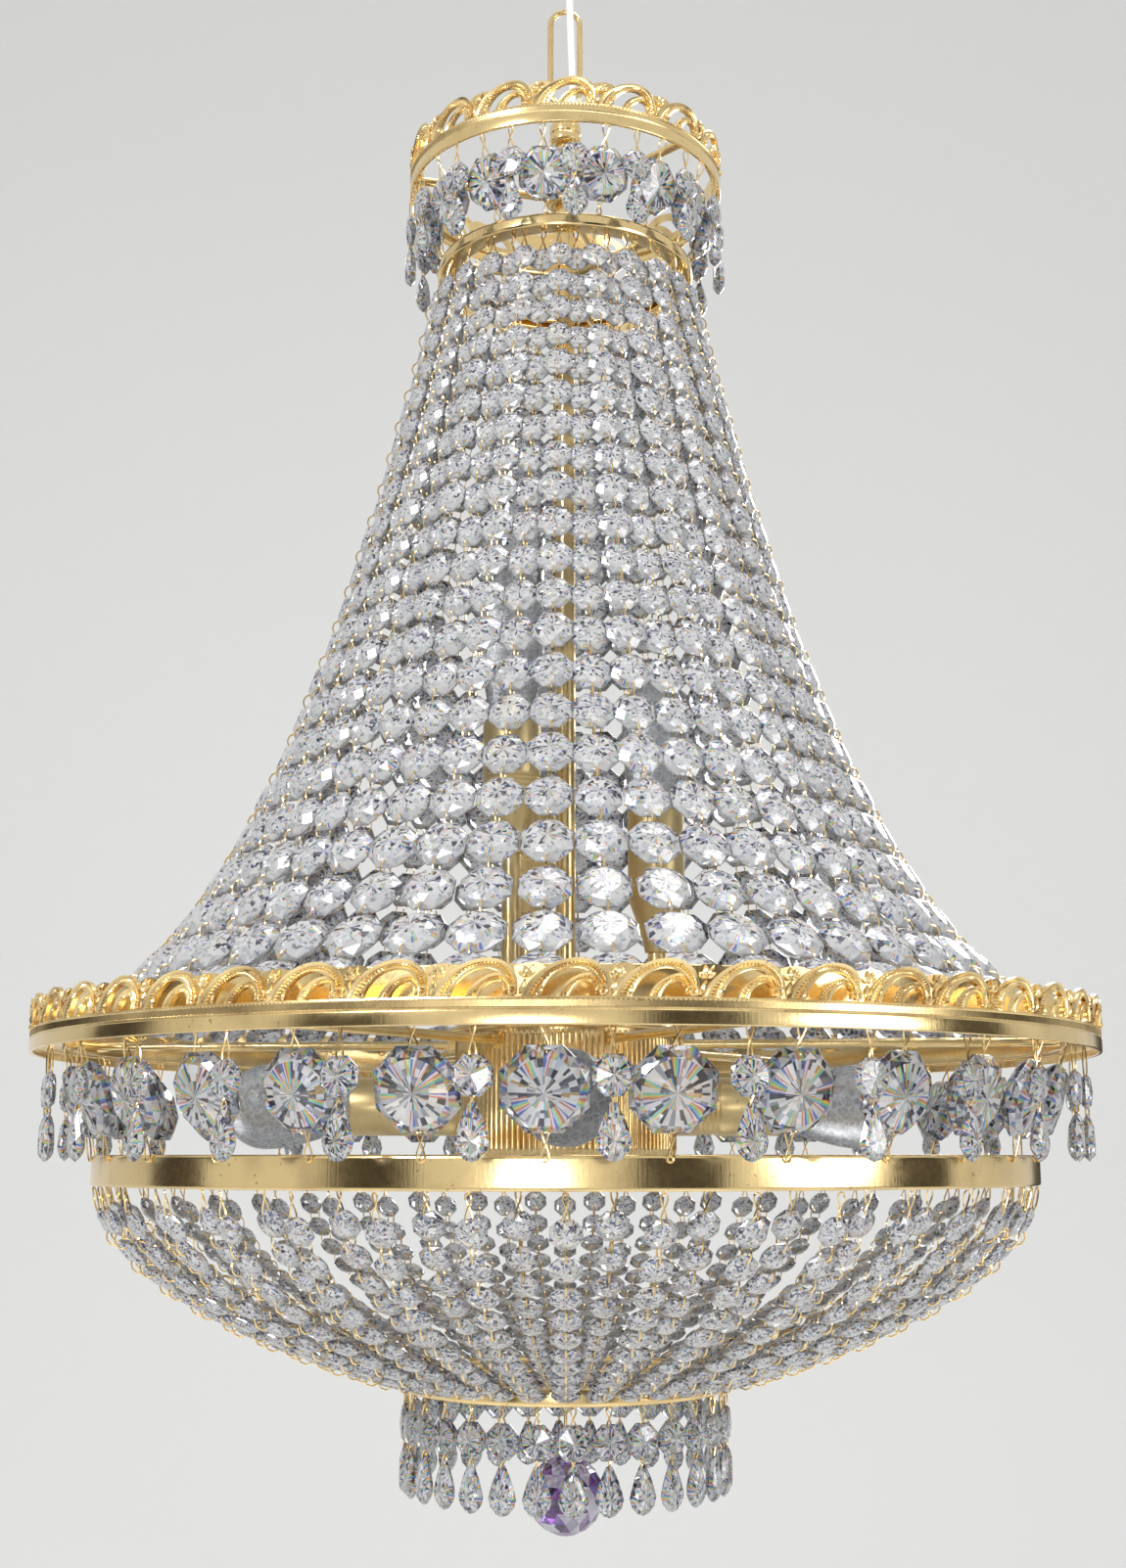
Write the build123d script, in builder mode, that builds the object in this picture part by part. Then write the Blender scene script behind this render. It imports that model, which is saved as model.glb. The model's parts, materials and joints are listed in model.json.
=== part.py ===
"""Crystal chandelier: gilt rings on a central column, strung with cut crystal.

Millimetres, +Z up.  The origin is the hanging point, the inside top of the chain
link, so every height below it is negative.  The front is towards -Y.  Azimuths are
measured from the front, positive towards +X.
"""

from build123d import *
from math import asin, atan2, cos, degrees, hypot, pi, radians, sin, tan
import os

os.makedirs("parts", exist_ok=True)

# ---------------------------------------------------------------- driving sizes
running_gap = 0.3           # between pieces that move past each other
seat_gap = 0.1              # between a wire hook and what it hangs on
fit_gap = 0.05              # round the column, in what is threaded on it

# chain link and hanging loop
link_wire = 3.5
link_width = 21.0
link_length = 65.0
loop_wire = 4.0
loop_radius = 7.65          # to the centre of the loop's wire
collar_diameter = 18.5
collar_height = 13.0
collar_wall = 1.75
stem_diameter = 8.0         # loop's stem, where it enters the collar
stem_length = 6.0
column_diameter = 11.0
column_bore = 8.0
nut_across = 17.0
nut_height = 5.0
column_end = 3.0            # length of the column below its nut

# supply flex
flex_diameter = 4.4
flex_connector = (12.0, 8.0, 14.0)
flex_top = 9.5
flex_inlet = (4.5, -4.5)    # where it enters the collar, beside the loop
flex_connector_round = 1.2

# rings: outer radius, height, and the height of the lower edge
ring_wall = 2.0
crown_radius = 91.5
crown_edge = -122.8
crown_hoop_height = 6.4
neck_radius = 74.4
neck_edge = -174.7
neck_height = 7.2
neck_width = 10.4
main_radius = 280.0
main_edge = -625.0
main_hoop_height = 6.4
main_shelf_width = 18.0
main_inner_height = 22.0
main_inner_drop = 4.0       # inner band's lower edge above the hoop's lower edge
basket_radius = 246.8
basket_edge = -690.6
basket_height = 15.0
basket_lip = 9.0            # width of the turned-in lower lip
foot_radius = 84.3
foot_edge = -795.0
foot_height = 8.7
foot_width = 7.0

# pierced gallery that stands on the crown hoop and the main hoop
gallery_wall = 1.2
gallery_height = 20.6
gallery_bead_height = 3.4
gallery_pitch = 36.7
gallery_window = 5.2
gallery_cut = 4.0           # depth of a window's cutter, past both faces
gallery_eye = 0.62          # radius of the round window, as a share of gallery_window
scroll_side = 0.27          # place of the leaf windows, as a share of the pitch
scroll_rise = 0.75
scroll_long = 0.5
scroll_short = 0.36
scroll_turn = 35.0
scallop_rise = 0.62         # centre and radius of the upper edge's hollows
scallop_reach = 0.8

# hub and its cover
hub_radius = 59.5
hub_top = -611.0
hub_height = 67.0
hub_wall = 2.0
hub_floor = 2.5
flute_pitch = 3.1
flute_radius = 1.2
flute_offset = 0.35         # flute centres outside the hub, as a share of flute_radius
lamp_hole_reach = 12.0      # a lamp hole's cutter, inside and outside the hub
cover_thickness = 3.0
cover_overhang = 3.5
cover_chamfer = 1.0

# spokes
spoke_diameter = 5.0
crown_spokes = 3
crown_spoke_first = 45.0
main_spokes = 6
main_spoke_first = 23.65    # midway between two strands of the drape
main_spoke_rise = 4.0       # above the inner band's lower edge
boss_diameter = 22.0
boss_height = 9.0
foot_spokes = 4
foot_spoke_diameter = 3.0
foot_hub_diameter = 12.0

# upright candle lamps on the hub's cover, azimuth and height of the cup's rim
candle_circle = 50.0
candle_places = ((-35.0, -440.5), (85.0, -489.5), (205.0, -462.0))
candle_stem_diameter = 10.0
candle_tube_length = 36.0
candle_taper_length = 29.0
candle_bulb_diameter = 35.0
candle_bulb_length = 84.0

# round lamps that stand out sideways from the hub
side_lamps = 4
side_lamp_first = 0.0
side_lamp_height = -650.0
side_cup_reach = 115.0      # from the axis to the cup's rim
side_cup_length = 64.0
side_bulb_diameter = 45.0
side_bulb_length = 68.0

# lamp cups and bulbs
cup_diameter = 31.0
cup_wall = 1.5
thread_length = 13.0
thread_pitch = 2.6
thread_depth = 0.7
bulb_seat = 12.0            # how deep the bulb's neck sits in the cup
bulb_neck = 26.0
bulb_neck_rise = 1.0        # length of the straight neck above the cup's rim
bulb_belly = 0.4            # a pointed bulb's widest place, as a share of its length
bulb_shoulder = (0.72, 0.82)   # a place on its side, as shares of its radius and length
bulb_tip = 2.0
cap_diameter = 13.6
cap_length = 20.0
wire_bore = 5.0

# strung crystals
drape_strands = 48
drape_first = -2.6
drape_rows = {14.0: 4, 16.0: 4, 18.0: 4, 20.0: 3, 22.0: 2, 24.0: 2, 26.0: 2}
drape_groups = {"upper": (14.0, 16.0), "middle": (18.0, 20.0), "lower": (22.0, 24.0, 26.0)}
drape_top_radius = 69.5
drape_pull = (152.0, -567.4)
drape_end_height = -610.0
drape_first_hook = 12.0
drape_last_hook = 8.0
basket_strands = 76
basket_first = 0.0
basket_stone = 14.0
basket_rows = 10
basket_top_radius = 242.0
basket_pull = (229.6, -746.5)
basket_first_hook = 10.0
basket_last_hook = 6.0
stone_thickness_share = 0.42
stone_table_share = 0.56
hook_width = 1.2            # seen from the front, a bent wire and its gap
hook_depth = 4.0            # a wire ring seen from the side
flat_seat_gap = 0.4         # between a wire and the flat end of a basket stone

# large octagons between the main hoop and the basket ring
large_count = 30
large_first = -2.0
large_stone = 37.0
large_hook = 11.3           # from the main hoop to the stone

# octagons between the crown hoop and the neck ring
crown_count = 16
crown_first = -8.0
crown_stone = 29.0
crown_hook = 12.0           # from the crown hoop to the stone

# dangling pendants: a small octagon, the button, and a pear drop below it
button = 17.0
drop_width = 14.5
drop_length = 23.5
drop_thickness = 6.5
drop_seat = 1.6             # height cut off the drop's tip, where its hook sits
drop_point_turn = 27.0      # how far the cuts at the point and the side turn up from straight down
drop_side_turn = 65.0
pendant_gap = 2.4           # from the button to the drop
crown_pendant_hook = 12.5   # from the crown hoop to the button
main_pendant_hook = 15.3
main_pendant_radius = 271.0
foot_count = 30
foot_first = 2.5
foot_pendant_hook = 8.0

# crystal ball
ball_diameter = 40.0
ball_height = -848.6
ball_wire = 1.8
ball_eye = 3.8              # radius of the two eyes, to the centre of their wire
ball_cap_diameter = 9.0
ball_facets = 12
ball_facet_tilts = (-72.0, -48.0, -24.0, 0.0, 24.0, 48.0, 72.0)

# ------------------------------------------------------------- worked-out sizes
link_top = link_wire / 2
link_bottom = link_top - (link_length - link_wire)
hinge_height = link_bottom + link_wire / 2
loop_top = hinge_height + running_gap
loop_centre = loop_top + loop_wire / 2 - loop_radius
collar_top = loop_centre - loop_radius - loop_wire / 2
column_top = collar_top - collar_height
hub_bottom = hub_top - hub_height
crown_gallery_repeats = round(2 * pi * crown_radius / gallery_pitch)
main_gallery_repeats = round(2 * pi * main_radius / gallery_pitch)
flutes = round(2 * pi * hub_radius / flute_pitch)
main_shelf_height = main_edge + main_hoop_height
main_inner_radius = main_radius - main_shelf_width
main_inner_edge = main_edge + main_inner_drop
main_spoke_height = main_inner_edge + main_spoke_rise
basket_lip_radius = basket_radius - basket_lip
ball_blank = 1.2 * ball_diameter
foot_inner_radius = foot_radius - foot_width
neck_inner_radius = neck_radius - neck_width


# --------------------------------------------------------------------- helpers
def turned(azimuth):
    """A turn about the column to an azimuth; azimuth 0 faces -Y."""
    return Location((0, 0, 0), (0, 0, azimuth))


def ring_plane(azimuth, radius, height, lean=0.0):
    """A plane at a place on a ring: x along the ring, y up a strand, z outward.

    lean turns the plane's outward normal up towards +Z, in degrees."""
    out = (0, -cos(radians(lean)), sin(radians(lean)))
    plane = Plane(origin=(0, -radius, height), x_dir=(1, 0, 0), z_dir=out)
    return turned(azimuth) * plane.location


def around(count, first):
    """Azimuths of an even ring of places."""
    return [first + 360 / count * step for step in range(count)]


def save(builder, name):
    """Label a finished piece and write it."""
    builder.part.label = name
    export_step(builder.part, f"parts/{name}.step", write_pcurves=False)


def band(name, rings):
    """A turned ring from one or more rectangles (inner, outer, low, high)."""
    with BuildPart() as ring:
        with BuildSketch(Plane.XZ):
            for inner, outer, low, high in rings:
                with Locations(((inner + outer) / 2, (low + high) / 2)):
                    Rectangle(outer - inner, high - low)
        revolve(axis=Axis.Z)
    ring.part.label = name
    return ring


def octagon_stone(width):
    """A cut octagon: a table front and back, eight facets down to a sharp edge."""
    thickness = width * stone_thickness_share
    bevel = width * (1 - stone_table_share) / 2
    with BuildPart() as stone:
        Box(width, width, thickness)
        for side in (1, -1):
            for turn in range(0, 360, 45):
                facing = (cos(radians(turn)), sin(radians(turn)))
                edge = (width / 2 * facing[0], width / 2 * facing[1], 0)
                steep = thickness / 2
                normal = (steep * facing[0], steep * facing[1], side * bevel)
                split(bisect_by=Plane(edge, z_dir=normal), keep=Keep.BOTTOM)
    return stone.part


def plain_stone(width):
    """A small octagon seen from far below: a flat eight-sided slab."""
    with BuildPart() as stone:
        with BuildSketch(Plane.XY.offset(-width * stone_thickness_share / 2)):
            RegularPolygon(width / 2, 8, major_radius=False, rotation=22.5)
        extrude(amount=width * stone_thickness_share)
    return stone.part


def drop_stone(width, length, thickness):
    """A pear drop, its flat top at y = 0, cut by planes that touch a pear outline."""
    belly = width / 2
    centre = belly / cos(radians(drop_point_turn)) - length
    lean = degrees(asin(belly / (drop_seat - centre)))
    cuts = [lean, drop_side_turn - 90, drop_point_turn - 90]
    with BuildPart() as stone:
        with Locations((0, -length / 2, 0)):
            Box(width, length, thickness)
        for turn in cuts + [180 - cut for cut in cuts]:
            facing = (cos(radians(turn)), sin(radians(turn)))
            edge = (belly * facing[0], centre + belly * facing[1], 0)
            for side in (1, -1):
                inward = side * belly * stone_table_share
                normal = (thickness / 2 * facing[0], thickness / 2 * facing[1], inward)
                split(bisect_by=Plane(edge, z_dir=normal), keep=Keep.BOTTOM)
    return stone.part


def strand_profile(start, pull, end):
    """The hanging line of a strand in the plane y = 0: x is the radius."""
    with BuildLine(Plane.XZ) as line:
        Bezier(start, pull, end)
    return line.edges()[0]


def profile_place(line, distance):
    """Radius, height and outward lean in degrees, a distance down a hanging line."""
    point = line.position_at(distance, position_mode=PositionMode.LENGTH)
    along = line.tangent_at(distance, position_mode=PositionMode.LENGTH)
    return point.X, point.Z, degrees(atan2(along.X, -along.Z))


def layer_shift(width, pitch):
    """How far two neighbouring strands stand apart so that wide stones clear."""
    thickness = width * stone_thickness_share
    bevel = width * (1 - stone_table_share) / 2
    shared = width + running_gap - pitch
    if shared <= 0:
        return 0.0
    return min(thickness / 2, thickness * shared / (4 * bevel)) + running_gap / 2


def stone_places(line, widths, first, gap, strands, least_shift=0.0):
    """Centre of each stone of one strand: radius, height, lean, width and layer shift."""
    places = []
    distance = first
    for width in widths:
        radius, height, lean = profile_place(line, distance + width / 2)
        shift = max(least_shift, layer_shift(width, 2 * pi * radius / strands))
        places.append((radius, height, lean, width, shift))
        distance += width + gap
    return places


def stone_end(place, side, end):
    """Upper (end = 1) or lower (end = -1) edge of a stone: radius and height."""
    radius, height, lean, width, shift = place
    out = (cos(radians(lean)), sin(radians(lean)))
    up = (-out[1], out[0])
    centre = (radius + side * shift * out[0], height + side * shift * out[1])
    return (centre[0] + end * width / 2 * up[0], centre[1] + end * width / 2 * up[1])


def hook_between(upper, lower, trim_upper, trim_lower, depth):
    """Plane and length of a hook from one point to another in a radial plane."""
    run = (lower[0] - upper[0], lower[1] - upper[1])
    length = hypot(*run)
    along = (run[0] / length, run[1] / length)
    kept = length - trim_upper - trim_lower
    middle = trim_upper + kept / 2
    radius = upper[0] + along[0] * middle
    height = upper[1] + along[1] * middle
    lean = degrees(atan2(along[0], -along[1]))
    return radius, height, lean, kept, depth


def hooks(pieces, azimuths):
    """Three-sided bars that stand for the given bent wires, repeated at each azimuth."""
    solids = []
    for radius, height, lean, length, depth in pieces:
        with BuildPart() as bar:
            with BuildSketch(Plane.XZ.offset(-length / 2)):
                with BuildLine():
                    half = hook_width / 2
                    Polyline((-half, -depth / 2), (half, -depth / 2), (0, depth / 2), close=True)
                make_face()
            extrude(amount=length)
        solids += [bar.solid().moved(ring_plane(turn, radius, height, lean)) for turn in azimuths]
    return solids


def strand_hooks(places, side, start, end, seat, trims):
    """Hooks of one strand, from the ring above to the ring below, a seat's gap off each stone."""
    found = []
    upper = start
    trim = trims[0]
    for place in places:
        depth = hook_width if upper is start else hook_depth
        found.append(hook_between(upper, stone_end(place, side, 1), trim, seat, depth))
        upper = stone_end(place, side, -1)
        trim = seat
    found.append(hook_between(upper, end, seat, trims[1], hook_width))
    return found


# ------------------------------------------------- chain link, loop and column
with BuildPart() as chain_link:
    with BuildLine(Plane.XZ) as link_line:
        half = (link_width - link_wire) / 2
        side_top = link_top - half
        side_end = link_bottom + half
        Line((half, side_end), (half, side_top))
        ThreePointArc((half, side_top), (0, link_top), (-half, side_top))
        Line((-half, side_top), (-half, side_end))
        ThreePointArc((-half, side_end), (0, link_bottom), (half, side_end))
    with BuildSketch(Plane((half, 0, side_end), z_dir=(0, 0, 1))):
        Circle(link_wire / 2)
    sweep(path=link_line.wires()[0])
save(chain_link, "chain_link")

with BuildPart() as hanging_loop:
    with BuildSketch(Plane((0, loop_radius, loop_centre), x_dir=(0, 1, 0), z_dir=(0, 0, 1))):
        Circle(loop_wire / 2)
    revolve(axis=Axis((0, 0, loop_centre), (1, 0, 0)))
    with BuildSketch(Plane.XY.offset(collar_top - stem_length)):
        Circle(stem_diameter / 2)
    extrude(amount=stem_length + loop_wire / 2)
save(hanging_loop, "hanging_loop")

with BuildPart() as column_collar:
    with BuildSketch(Plane.XY.offset(column_top)):
        Circle(collar_diameter / 2)
    extrude(amount=collar_height)
    with BuildSketch(Plane.XY.offset(column_top + collar_wall)):
        Circle(collar_diameter / 2 - collar_wall)
    extrude(amount=collar_height - 2 * collar_wall, mode=Mode.SUBTRACT)
    with BuildSketch(Plane.XY.offset(column_top)):
        Circle(column_bore / 2)
    extrude(amount=collar_wall, mode=Mode.SUBTRACT)
    with BuildSketch(Plane.XY.offset(collar_top)):
        Circle(stem_diameter / 2)
        with Locations(flex_inlet):
            Circle(flex_diameter / 2)
    extrude(amount=-collar_wall, mode=Mode.SUBTRACT)
save(column_collar, "column_collar")

column_low = hub_bottom - nut_height - column_end
with BuildPart() as column_tube:
    with BuildSketch(Plane.XY.offset(column_low)):
        Circle(column_diameter / 2)
        Circle(column_bore / 2, mode=Mode.SUBTRACT)
    extrude(amount=column_top - column_low)
save(column_tube, "column_tube")

with BuildPart() as column_nut:
    with BuildSketch(Plane.XY.offset(hub_bottom - nut_height)):
        RegularPolygon(nut_across / 2, 6, major_radius=False)
        Circle(column_diameter / 2 + fit_gap, mode=Mode.SUBTRACT)
    extrude(amount=nut_height)
save(column_nut, "column_nut")

# ------------------------------------------------------------------ supply flex
# Hand-picked points, from the collar up past the front of the link, pulled tight.
flex_points = [
    (flex_inlet[0], flex_inlet[1], collar_top - collar_wall),
    (flex_inlet[0], flex_inlet[1], -48.0),
    (3.3, -4.7, -18.0),
    (2.6, -4.6, link_top + flex_top),
]


def bend_radii(points, share=0.45):
    """The largest radius at each inner point: a share of its shorter run, over tan(turn / 2)."""
    runs = [Vector(end) - Vector(start) for start, end in zip(points, points[1:])]
    found = []
    for before, after in zip(runs, runs[1:]):
        shorter = min(before.length, after.length)
        found.append(share * shorter / tan(radians(before.get_angle(after) / 2)))
    return found


flex_radii = bend_radii(flex_points)
with BuildPart() as supply_flex:
    with BuildLine() as flex_line:
        FilletPolyline(*flex_points, radius=flex_radii)
    with BuildSketch(Plane(flex_points[0], z_dir=flex_line.line % 0)):
        Circle(flex_diameter / 2)
    sweep(path=flex_line.wires()[0])
save(supply_flex, "supply_flex")
flex_length = flex_line.wires()[0].length
flex_volume = pi * flex_diameter**2 / 4 * flex_length
print("supply flex length", round(flex_length, 1), "radii", [round(r) for r in flex_radii])
print("supply flex volume over section x length", round(supply_flex.part.volume / flex_volume, 4))

with BuildPart() as flex_connector_block:
    flex_end = flex_line.line @ 1
    with BuildSketch(Plane(flex_end, z_dir=flex_line.line % 1)):
        Rectangle(flex_connector[0], flex_connector[1])
    extrude(amount=flex_connector[2])
    fillet(flex_connector_block.edges(), radius=flex_connector_round)
save(flex_connector_block, "flex_connector")


# ------------------------------------------------------- rings and their spokes
def spokes(name, places, length_from, length_to, height, diameter):
    """A boss on the column with straight spokes out to a ring."""
    with BuildPart() as made:
        with BuildSketch(Plane.XY.offset(height - boss_height / 2)):
            Circle(boss_diameter / 2)
        extrude(amount=boss_height)
        for turn in places:
            out = (sin(radians(turn)), -cos(radians(turn)), 0)
            start = (out[0] * length_from, out[1] * length_from, height)
            with BuildSketch(Plane(start, z_dir=out)):
                Circle(diameter / 2)
            extrude(amount=length_to - length_from)
        with BuildSketch(Plane.XY.offset(height - boss_height / 2)):
            Circle(column_diameter / 2 + fit_gap)
        extrude(amount=boss_height, mode=Mode.SUBTRACT)
    made.part.label = name
    return made


crown_hoop_top = crown_edge + crown_hoop_height
crown_inner = crown_radius - ring_wall
crown_hoop = band("crown_hoop", [
    (crown_inner, crown_radius, crown_edge, crown_hoop_top),
    (crown_radius - 2 * ring_wall - gallery_wall, crown_radius, crown_hoop_top - ring_wall, crown_hoop_top),
])
save(crown_hoop, "crown_hoop")

neck_top = neck_edge + neck_height
neck_ring = band("neck_ring", [
    (neck_radius - ring_wall, neck_radius, neck_edge, neck_top),
    (neck_inner_radius, neck_radius, neck_top - ring_wall, neck_top),
    (neck_inner_radius, neck_radius, neck_edge, neck_edge + ring_wall),
])
save(neck_ring, "neck_ring")

crown_spoke_places = around(crown_spokes, crown_spoke_first)
crown_spoke_height = crown_hoop_top - ring_wall - fit_gap - spoke_diameter / 2
save(spokes("crown_spokes", crown_spoke_places, column_diameter / 2, crown_inner,
            crown_spoke_height, spoke_diameter), "crown_spokes")
neck_spoke_height = neck_edge + neck_height / 2
save(spokes("neck_spokes", crown_spoke_places, column_diameter / 2, neck_inner_radius,
            neck_spoke_height, spoke_diameter), "neck_spokes")

main_hoop = band("main_hoop", [
    (main_radius - ring_wall, main_radius, main_edge, main_shelf_height),
    (main_inner_radius, main_radius, main_shelf_height - ring_wall, main_shelf_height),
    (main_inner_radius, main_inner_radius + ring_wall, main_inner_edge, main_inner_edge + main_inner_height),
])
save(main_hoop, "main_hoop")

basket_top = basket_edge + basket_height
basket_ring = band("basket_ring", [
    (basket_radius - ring_wall, basket_radius, basket_edge, basket_top),
    (basket_lip_radius, basket_radius, basket_edge, basket_edge + ring_wall),
])
save(basket_ring, "basket_ring")

foot_top = foot_edge + foot_height
foot_ring = band("foot_ring", [
    (foot_radius - ring_wall, foot_radius, foot_edge, foot_top),
    (foot_inner_radius, foot_radius, foot_top - ring_wall, foot_top),
    (foot_inner_radius, foot_radius, foot_edge, foot_edge + ring_wall),
])
save(foot_ring, "foot_ring")

with BuildPart() as main_rods:
    for turn in around(main_spokes, main_spoke_first):
        out = (sin(radians(turn)), -cos(radians(turn)), 0)
        start = (out[0] * hub_radius, out[1] * hub_radius, main_spoke_height)
        with BuildSketch(Plane(start, z_dir=out)):
            Circle(spoke_diameter / 2)
        extrude(amount=main_inner_radius - hub_radius)
save(main_rods, "main_rods")


# ------------------------------------------------------------- pierced galleries
def gallery(radius, low, repeats):
    """A pierced band: a bead line below, scroll windows and a scalloped upper edge."""
    pitch = 2 * pi * radius / repeats
    scroll_low = low + gallery_bead_height
    scallop = pitch / 2 + gallery_window
    face = Plane((0, -radius, 0), x_dir=(1, 0, 0), z_dir=(0, -1, 0))
    with BuildPart() as cutters:
        for turn in around(repeats, 0.0):
            with BuildSketch(Plane(turned(turn) * face.location)):
                with Locations((0, scroll_low + gallery_window)):
                    Circle(gallery_window * gallery_eye)
                for side in (1, -1):
                    spot = (side * pitch * scroll_side, scroll_low + gallery_window * scroll_rise)
                    with Locations(spot):
                        Ellipse(gallery_window * scroll_long, gallery_window * scroll_short,
                                rotation=side * scroll_turn)
                with Locations((pitch / 2, low + gallery_height + scallop * scallop_rise)):
                    Circle(scallop * scallop_reach)
            extrude(amount=gallery_cut, both=True)
    with BuildPart() as made:
        with BuildSketch(Plane.XZ):
            with Locations((radius - gallery_wall / 2, low + gallery_height / 2)):
                Rectangle(gallery_wall, gallery_height)
        revolve(axis=Axis.Z)
        add(cutters.part, mode=Mode.SUBTRACT)
    return made


crown_gallery = gallery(crown_radius, crown_hoop_top, crown_gallery_repeats)
save(crown_gallery, "crown_gallery")
main_gallery = gallery(main_radius, main_shelf_height, main_gallery_repeats)
save(main_gallery, "main_gallery")

# -------------------------------------------------------------------------- hub
side_lamp_places = around(side_lamps, side_lamp_first)
with BuildPart() as hub_cup:
    with BuildSketch(Plane.XY.offset(hub_bottom)):
        Circle(hub_radius)
        with PolarLocations(hub_radius + flute_radius * flute_offset, flutes):
            Circle(flute_radius, mode=Mode.SUBTRACT)
    extrude(amount=hub_height)
    with BuildSketch(Plane.XY.offset(hub_bottom + hub_floor)):
        Circle(hub_radius - hub_wall - flute_radius)
    extrude(amount=hub_height - hub_floor, mode=Mode.SUBTRACT)
    with BuildSketch(Plane.XY.offset(hub_bottom)):
        Circle(column_diameter / 2 + fit_gap)
    extrude(amount=hub_floor, mode=Mode.SUBTRACT)
    for turn in side_lamp_places:
        out = (sin(radians(turn)), -cos(radians(turn)), 0)
        cut_from = hub_radius - lamp_hole_reach
        start = (out[0] * cut_from, out[1] * cut_from, side_lamp_height)
        with BuildSketch(Plane(start, z_dir=out)):
            Circle(cup_diameter / 2 + seat_gap)
        extrude(amount=2 * lamp_hole_reach, mode=Mode.SUBTRACT)
save(hub_cup, "hub_cup")

with BuildPart() as hub_cover:
    with BuildSketch(Plane.XY.offset(hub_top)):
        Circle(hub_radius + cover_overhang)
        Circle(column_diameter / 2 + fit_gap, mode=Mode.SUBTRACT)
    extrude(amount=cover_thickness)
    top_edge = hub_cover.edges().group_by(Axis.Z)[-1].sort_by(SortBy.LENGTH)[-1]
    chamfer(top_edge, length=cover_chamfer)
save(hub_cover, "hub_cover")


# ------------------------------------------------------------------------ lamps
def lamp_cup(length, taper):
    """A lampholder cup, rim at z = 0: tube, thread, then a taper or a straight body."""
    outer = cup_diameter / 2
    thread_top = -candle_tube_length if taper else -length / 2
    thread_low = thread_top - thread_length
    low = thread_low - taper if taper else -length
    with BuildPart() as cup:
        with BuildSketch(Plane.XZ):
            with BuildLine():
                low_radius = candle_stem_diameter / 2 + cup_wall if taper else outer
                Polyline((0, 0), (outer, 0), (outer, thread_low), (low_radius, low), (0, low), (0, 0))
            make_face()
        revolve(axis=Axis.Z)
        with BuildSketch(Plane.XZ):
            for turn in range(int(thread_length / thread_pitch)):
                with Locations((outer, thread_top - thread_pitch * (turn + 0.5))):
                    RegularPolygon(thread_depth, 4)
        revolve(axis=Axis.Z, mode=Mode.SUBTRACT)
        Hole(outer - cup_wall, depth=bulb_seat + 2 * running_gap)
        Hole(cap_diameter / 2 + running_gap, depth=bulb_seat + cap_length + 3 * running_gap)
        Hole(wire_bore / 2, depth=-low)
    return cup.part


def bulb(diameter, length, pointed):
    """A bulb above its cup's rim at z = 0, with its neck and screw cap below."""
    neck_low = running_gap - bulb_seat
    widest = diameter / 2
    belly = length * bulb_belly if pointed else length - widest
    neck_top = (bulb_neck / 2, bulb_neck_rise)
    tip = (bulb_tip, length)
    with BuildPart() as made:
        with BuildSketch(Plane.XZ):
            with BuildLine():
                Line((0, neck_low - cap_length), (cap_diameter / 2, neck_low - cap_length))
                Line((cap_diameter / 2, neck_low - cap_length), (cap_diameter / 2, neck_low))
                Line((cap_diameter / 2, neck_low), (bulb_neck / 2, neck_low))
                Line((bulb_neck / 2, neck_low), neck_top)
                Spline(neck_top, (widest, belly), tangents=((0, 1), (0, 1)))
                if pointed:
                    shoulder = (widest * bulb_shoulder[0], length * bulb_shoulder[1])
                    ThreePointArc((widest, belly), shoulder, tip)
                else:
                    RadiusArc((widest, belly), tip, -hypot(widest, bulb_tip))
                Line(tip, (0, length))
                Line((0, length), (0, neck_low - cap_length))
            make_face()
        revolve(axis=Axis.Z)
    return made.part


candle_cup = lamp_cup(0.0, candle_taper_length)
candle_cup_drop = candle_tube_length + thread_length + candle_taper_length
cover_top = hub_top + cover_thickness
with BuildPart() as candle_cups:
    cup_spots = [turned(turn) * Location((0, -candle_circle, rim)) for turn, rim in candle_places]
    add([candle_cup.solid().moved(spot) for spot in cup_spots], mode=Mode.REPLACE)
save(candle_cups, "candle_cups")

with BuildPart() as candle_stems:
    for turn, rim in candle_places:
        foot = turned(turn) * Location((0, -candle_circle, cover_top))
        with BuildSketch(Plane(foot)):
            Circle(candle_stem_diameter / 2)
            Circle(wire_bore / 2, mode=Mode.SUBTRACT)
        extrude(amount=rim - candle_cup_drop - cover_top)
save(candle_stems, "candle_stems")

candle_bulb = bulb(candle_bulb_diameter, candle_bulb_length, True)
for name, (turn, rim) in zip(("left", "right", "back"), candle_places):
    with BuildPart() as candle_bulb_piece:
        with Locations(turned(turn) * Location((0, -candle_circle, rim))):
            add(candle_bulb)
    save(candle_bulb_piece, f"candle_bulb_{name}")

side_cup = lamp_cup(side_cup_length, 0.0)
side_spots = []
for turn in side_lamp_places:
    rim_plane = Plane((0, -side_cup_reach, side_lamp_height), x_dir=(1, 0, 0), z_dir=(0, -1, 0))
    side_spots.append(turned(turn) * rim_plane.location)
with BuildPart() as side_cups:
    add([side_cup.solid().moved(spot) for spot in side_spots], mode=Mode.REPLACE)
save(side_cups, "side_cups")

side_bulb = bulb(side_bulb_diameter, side_bulb_length, False)
for name, spot in zip(("front", "right", "back", "left"), side_spots):
    with BuildPart() as side_bulb_piece:
        with Locations(spot):
            add(side_bulb)
    save(side_bulb_piece, f"side_bulb_{name}")

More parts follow.
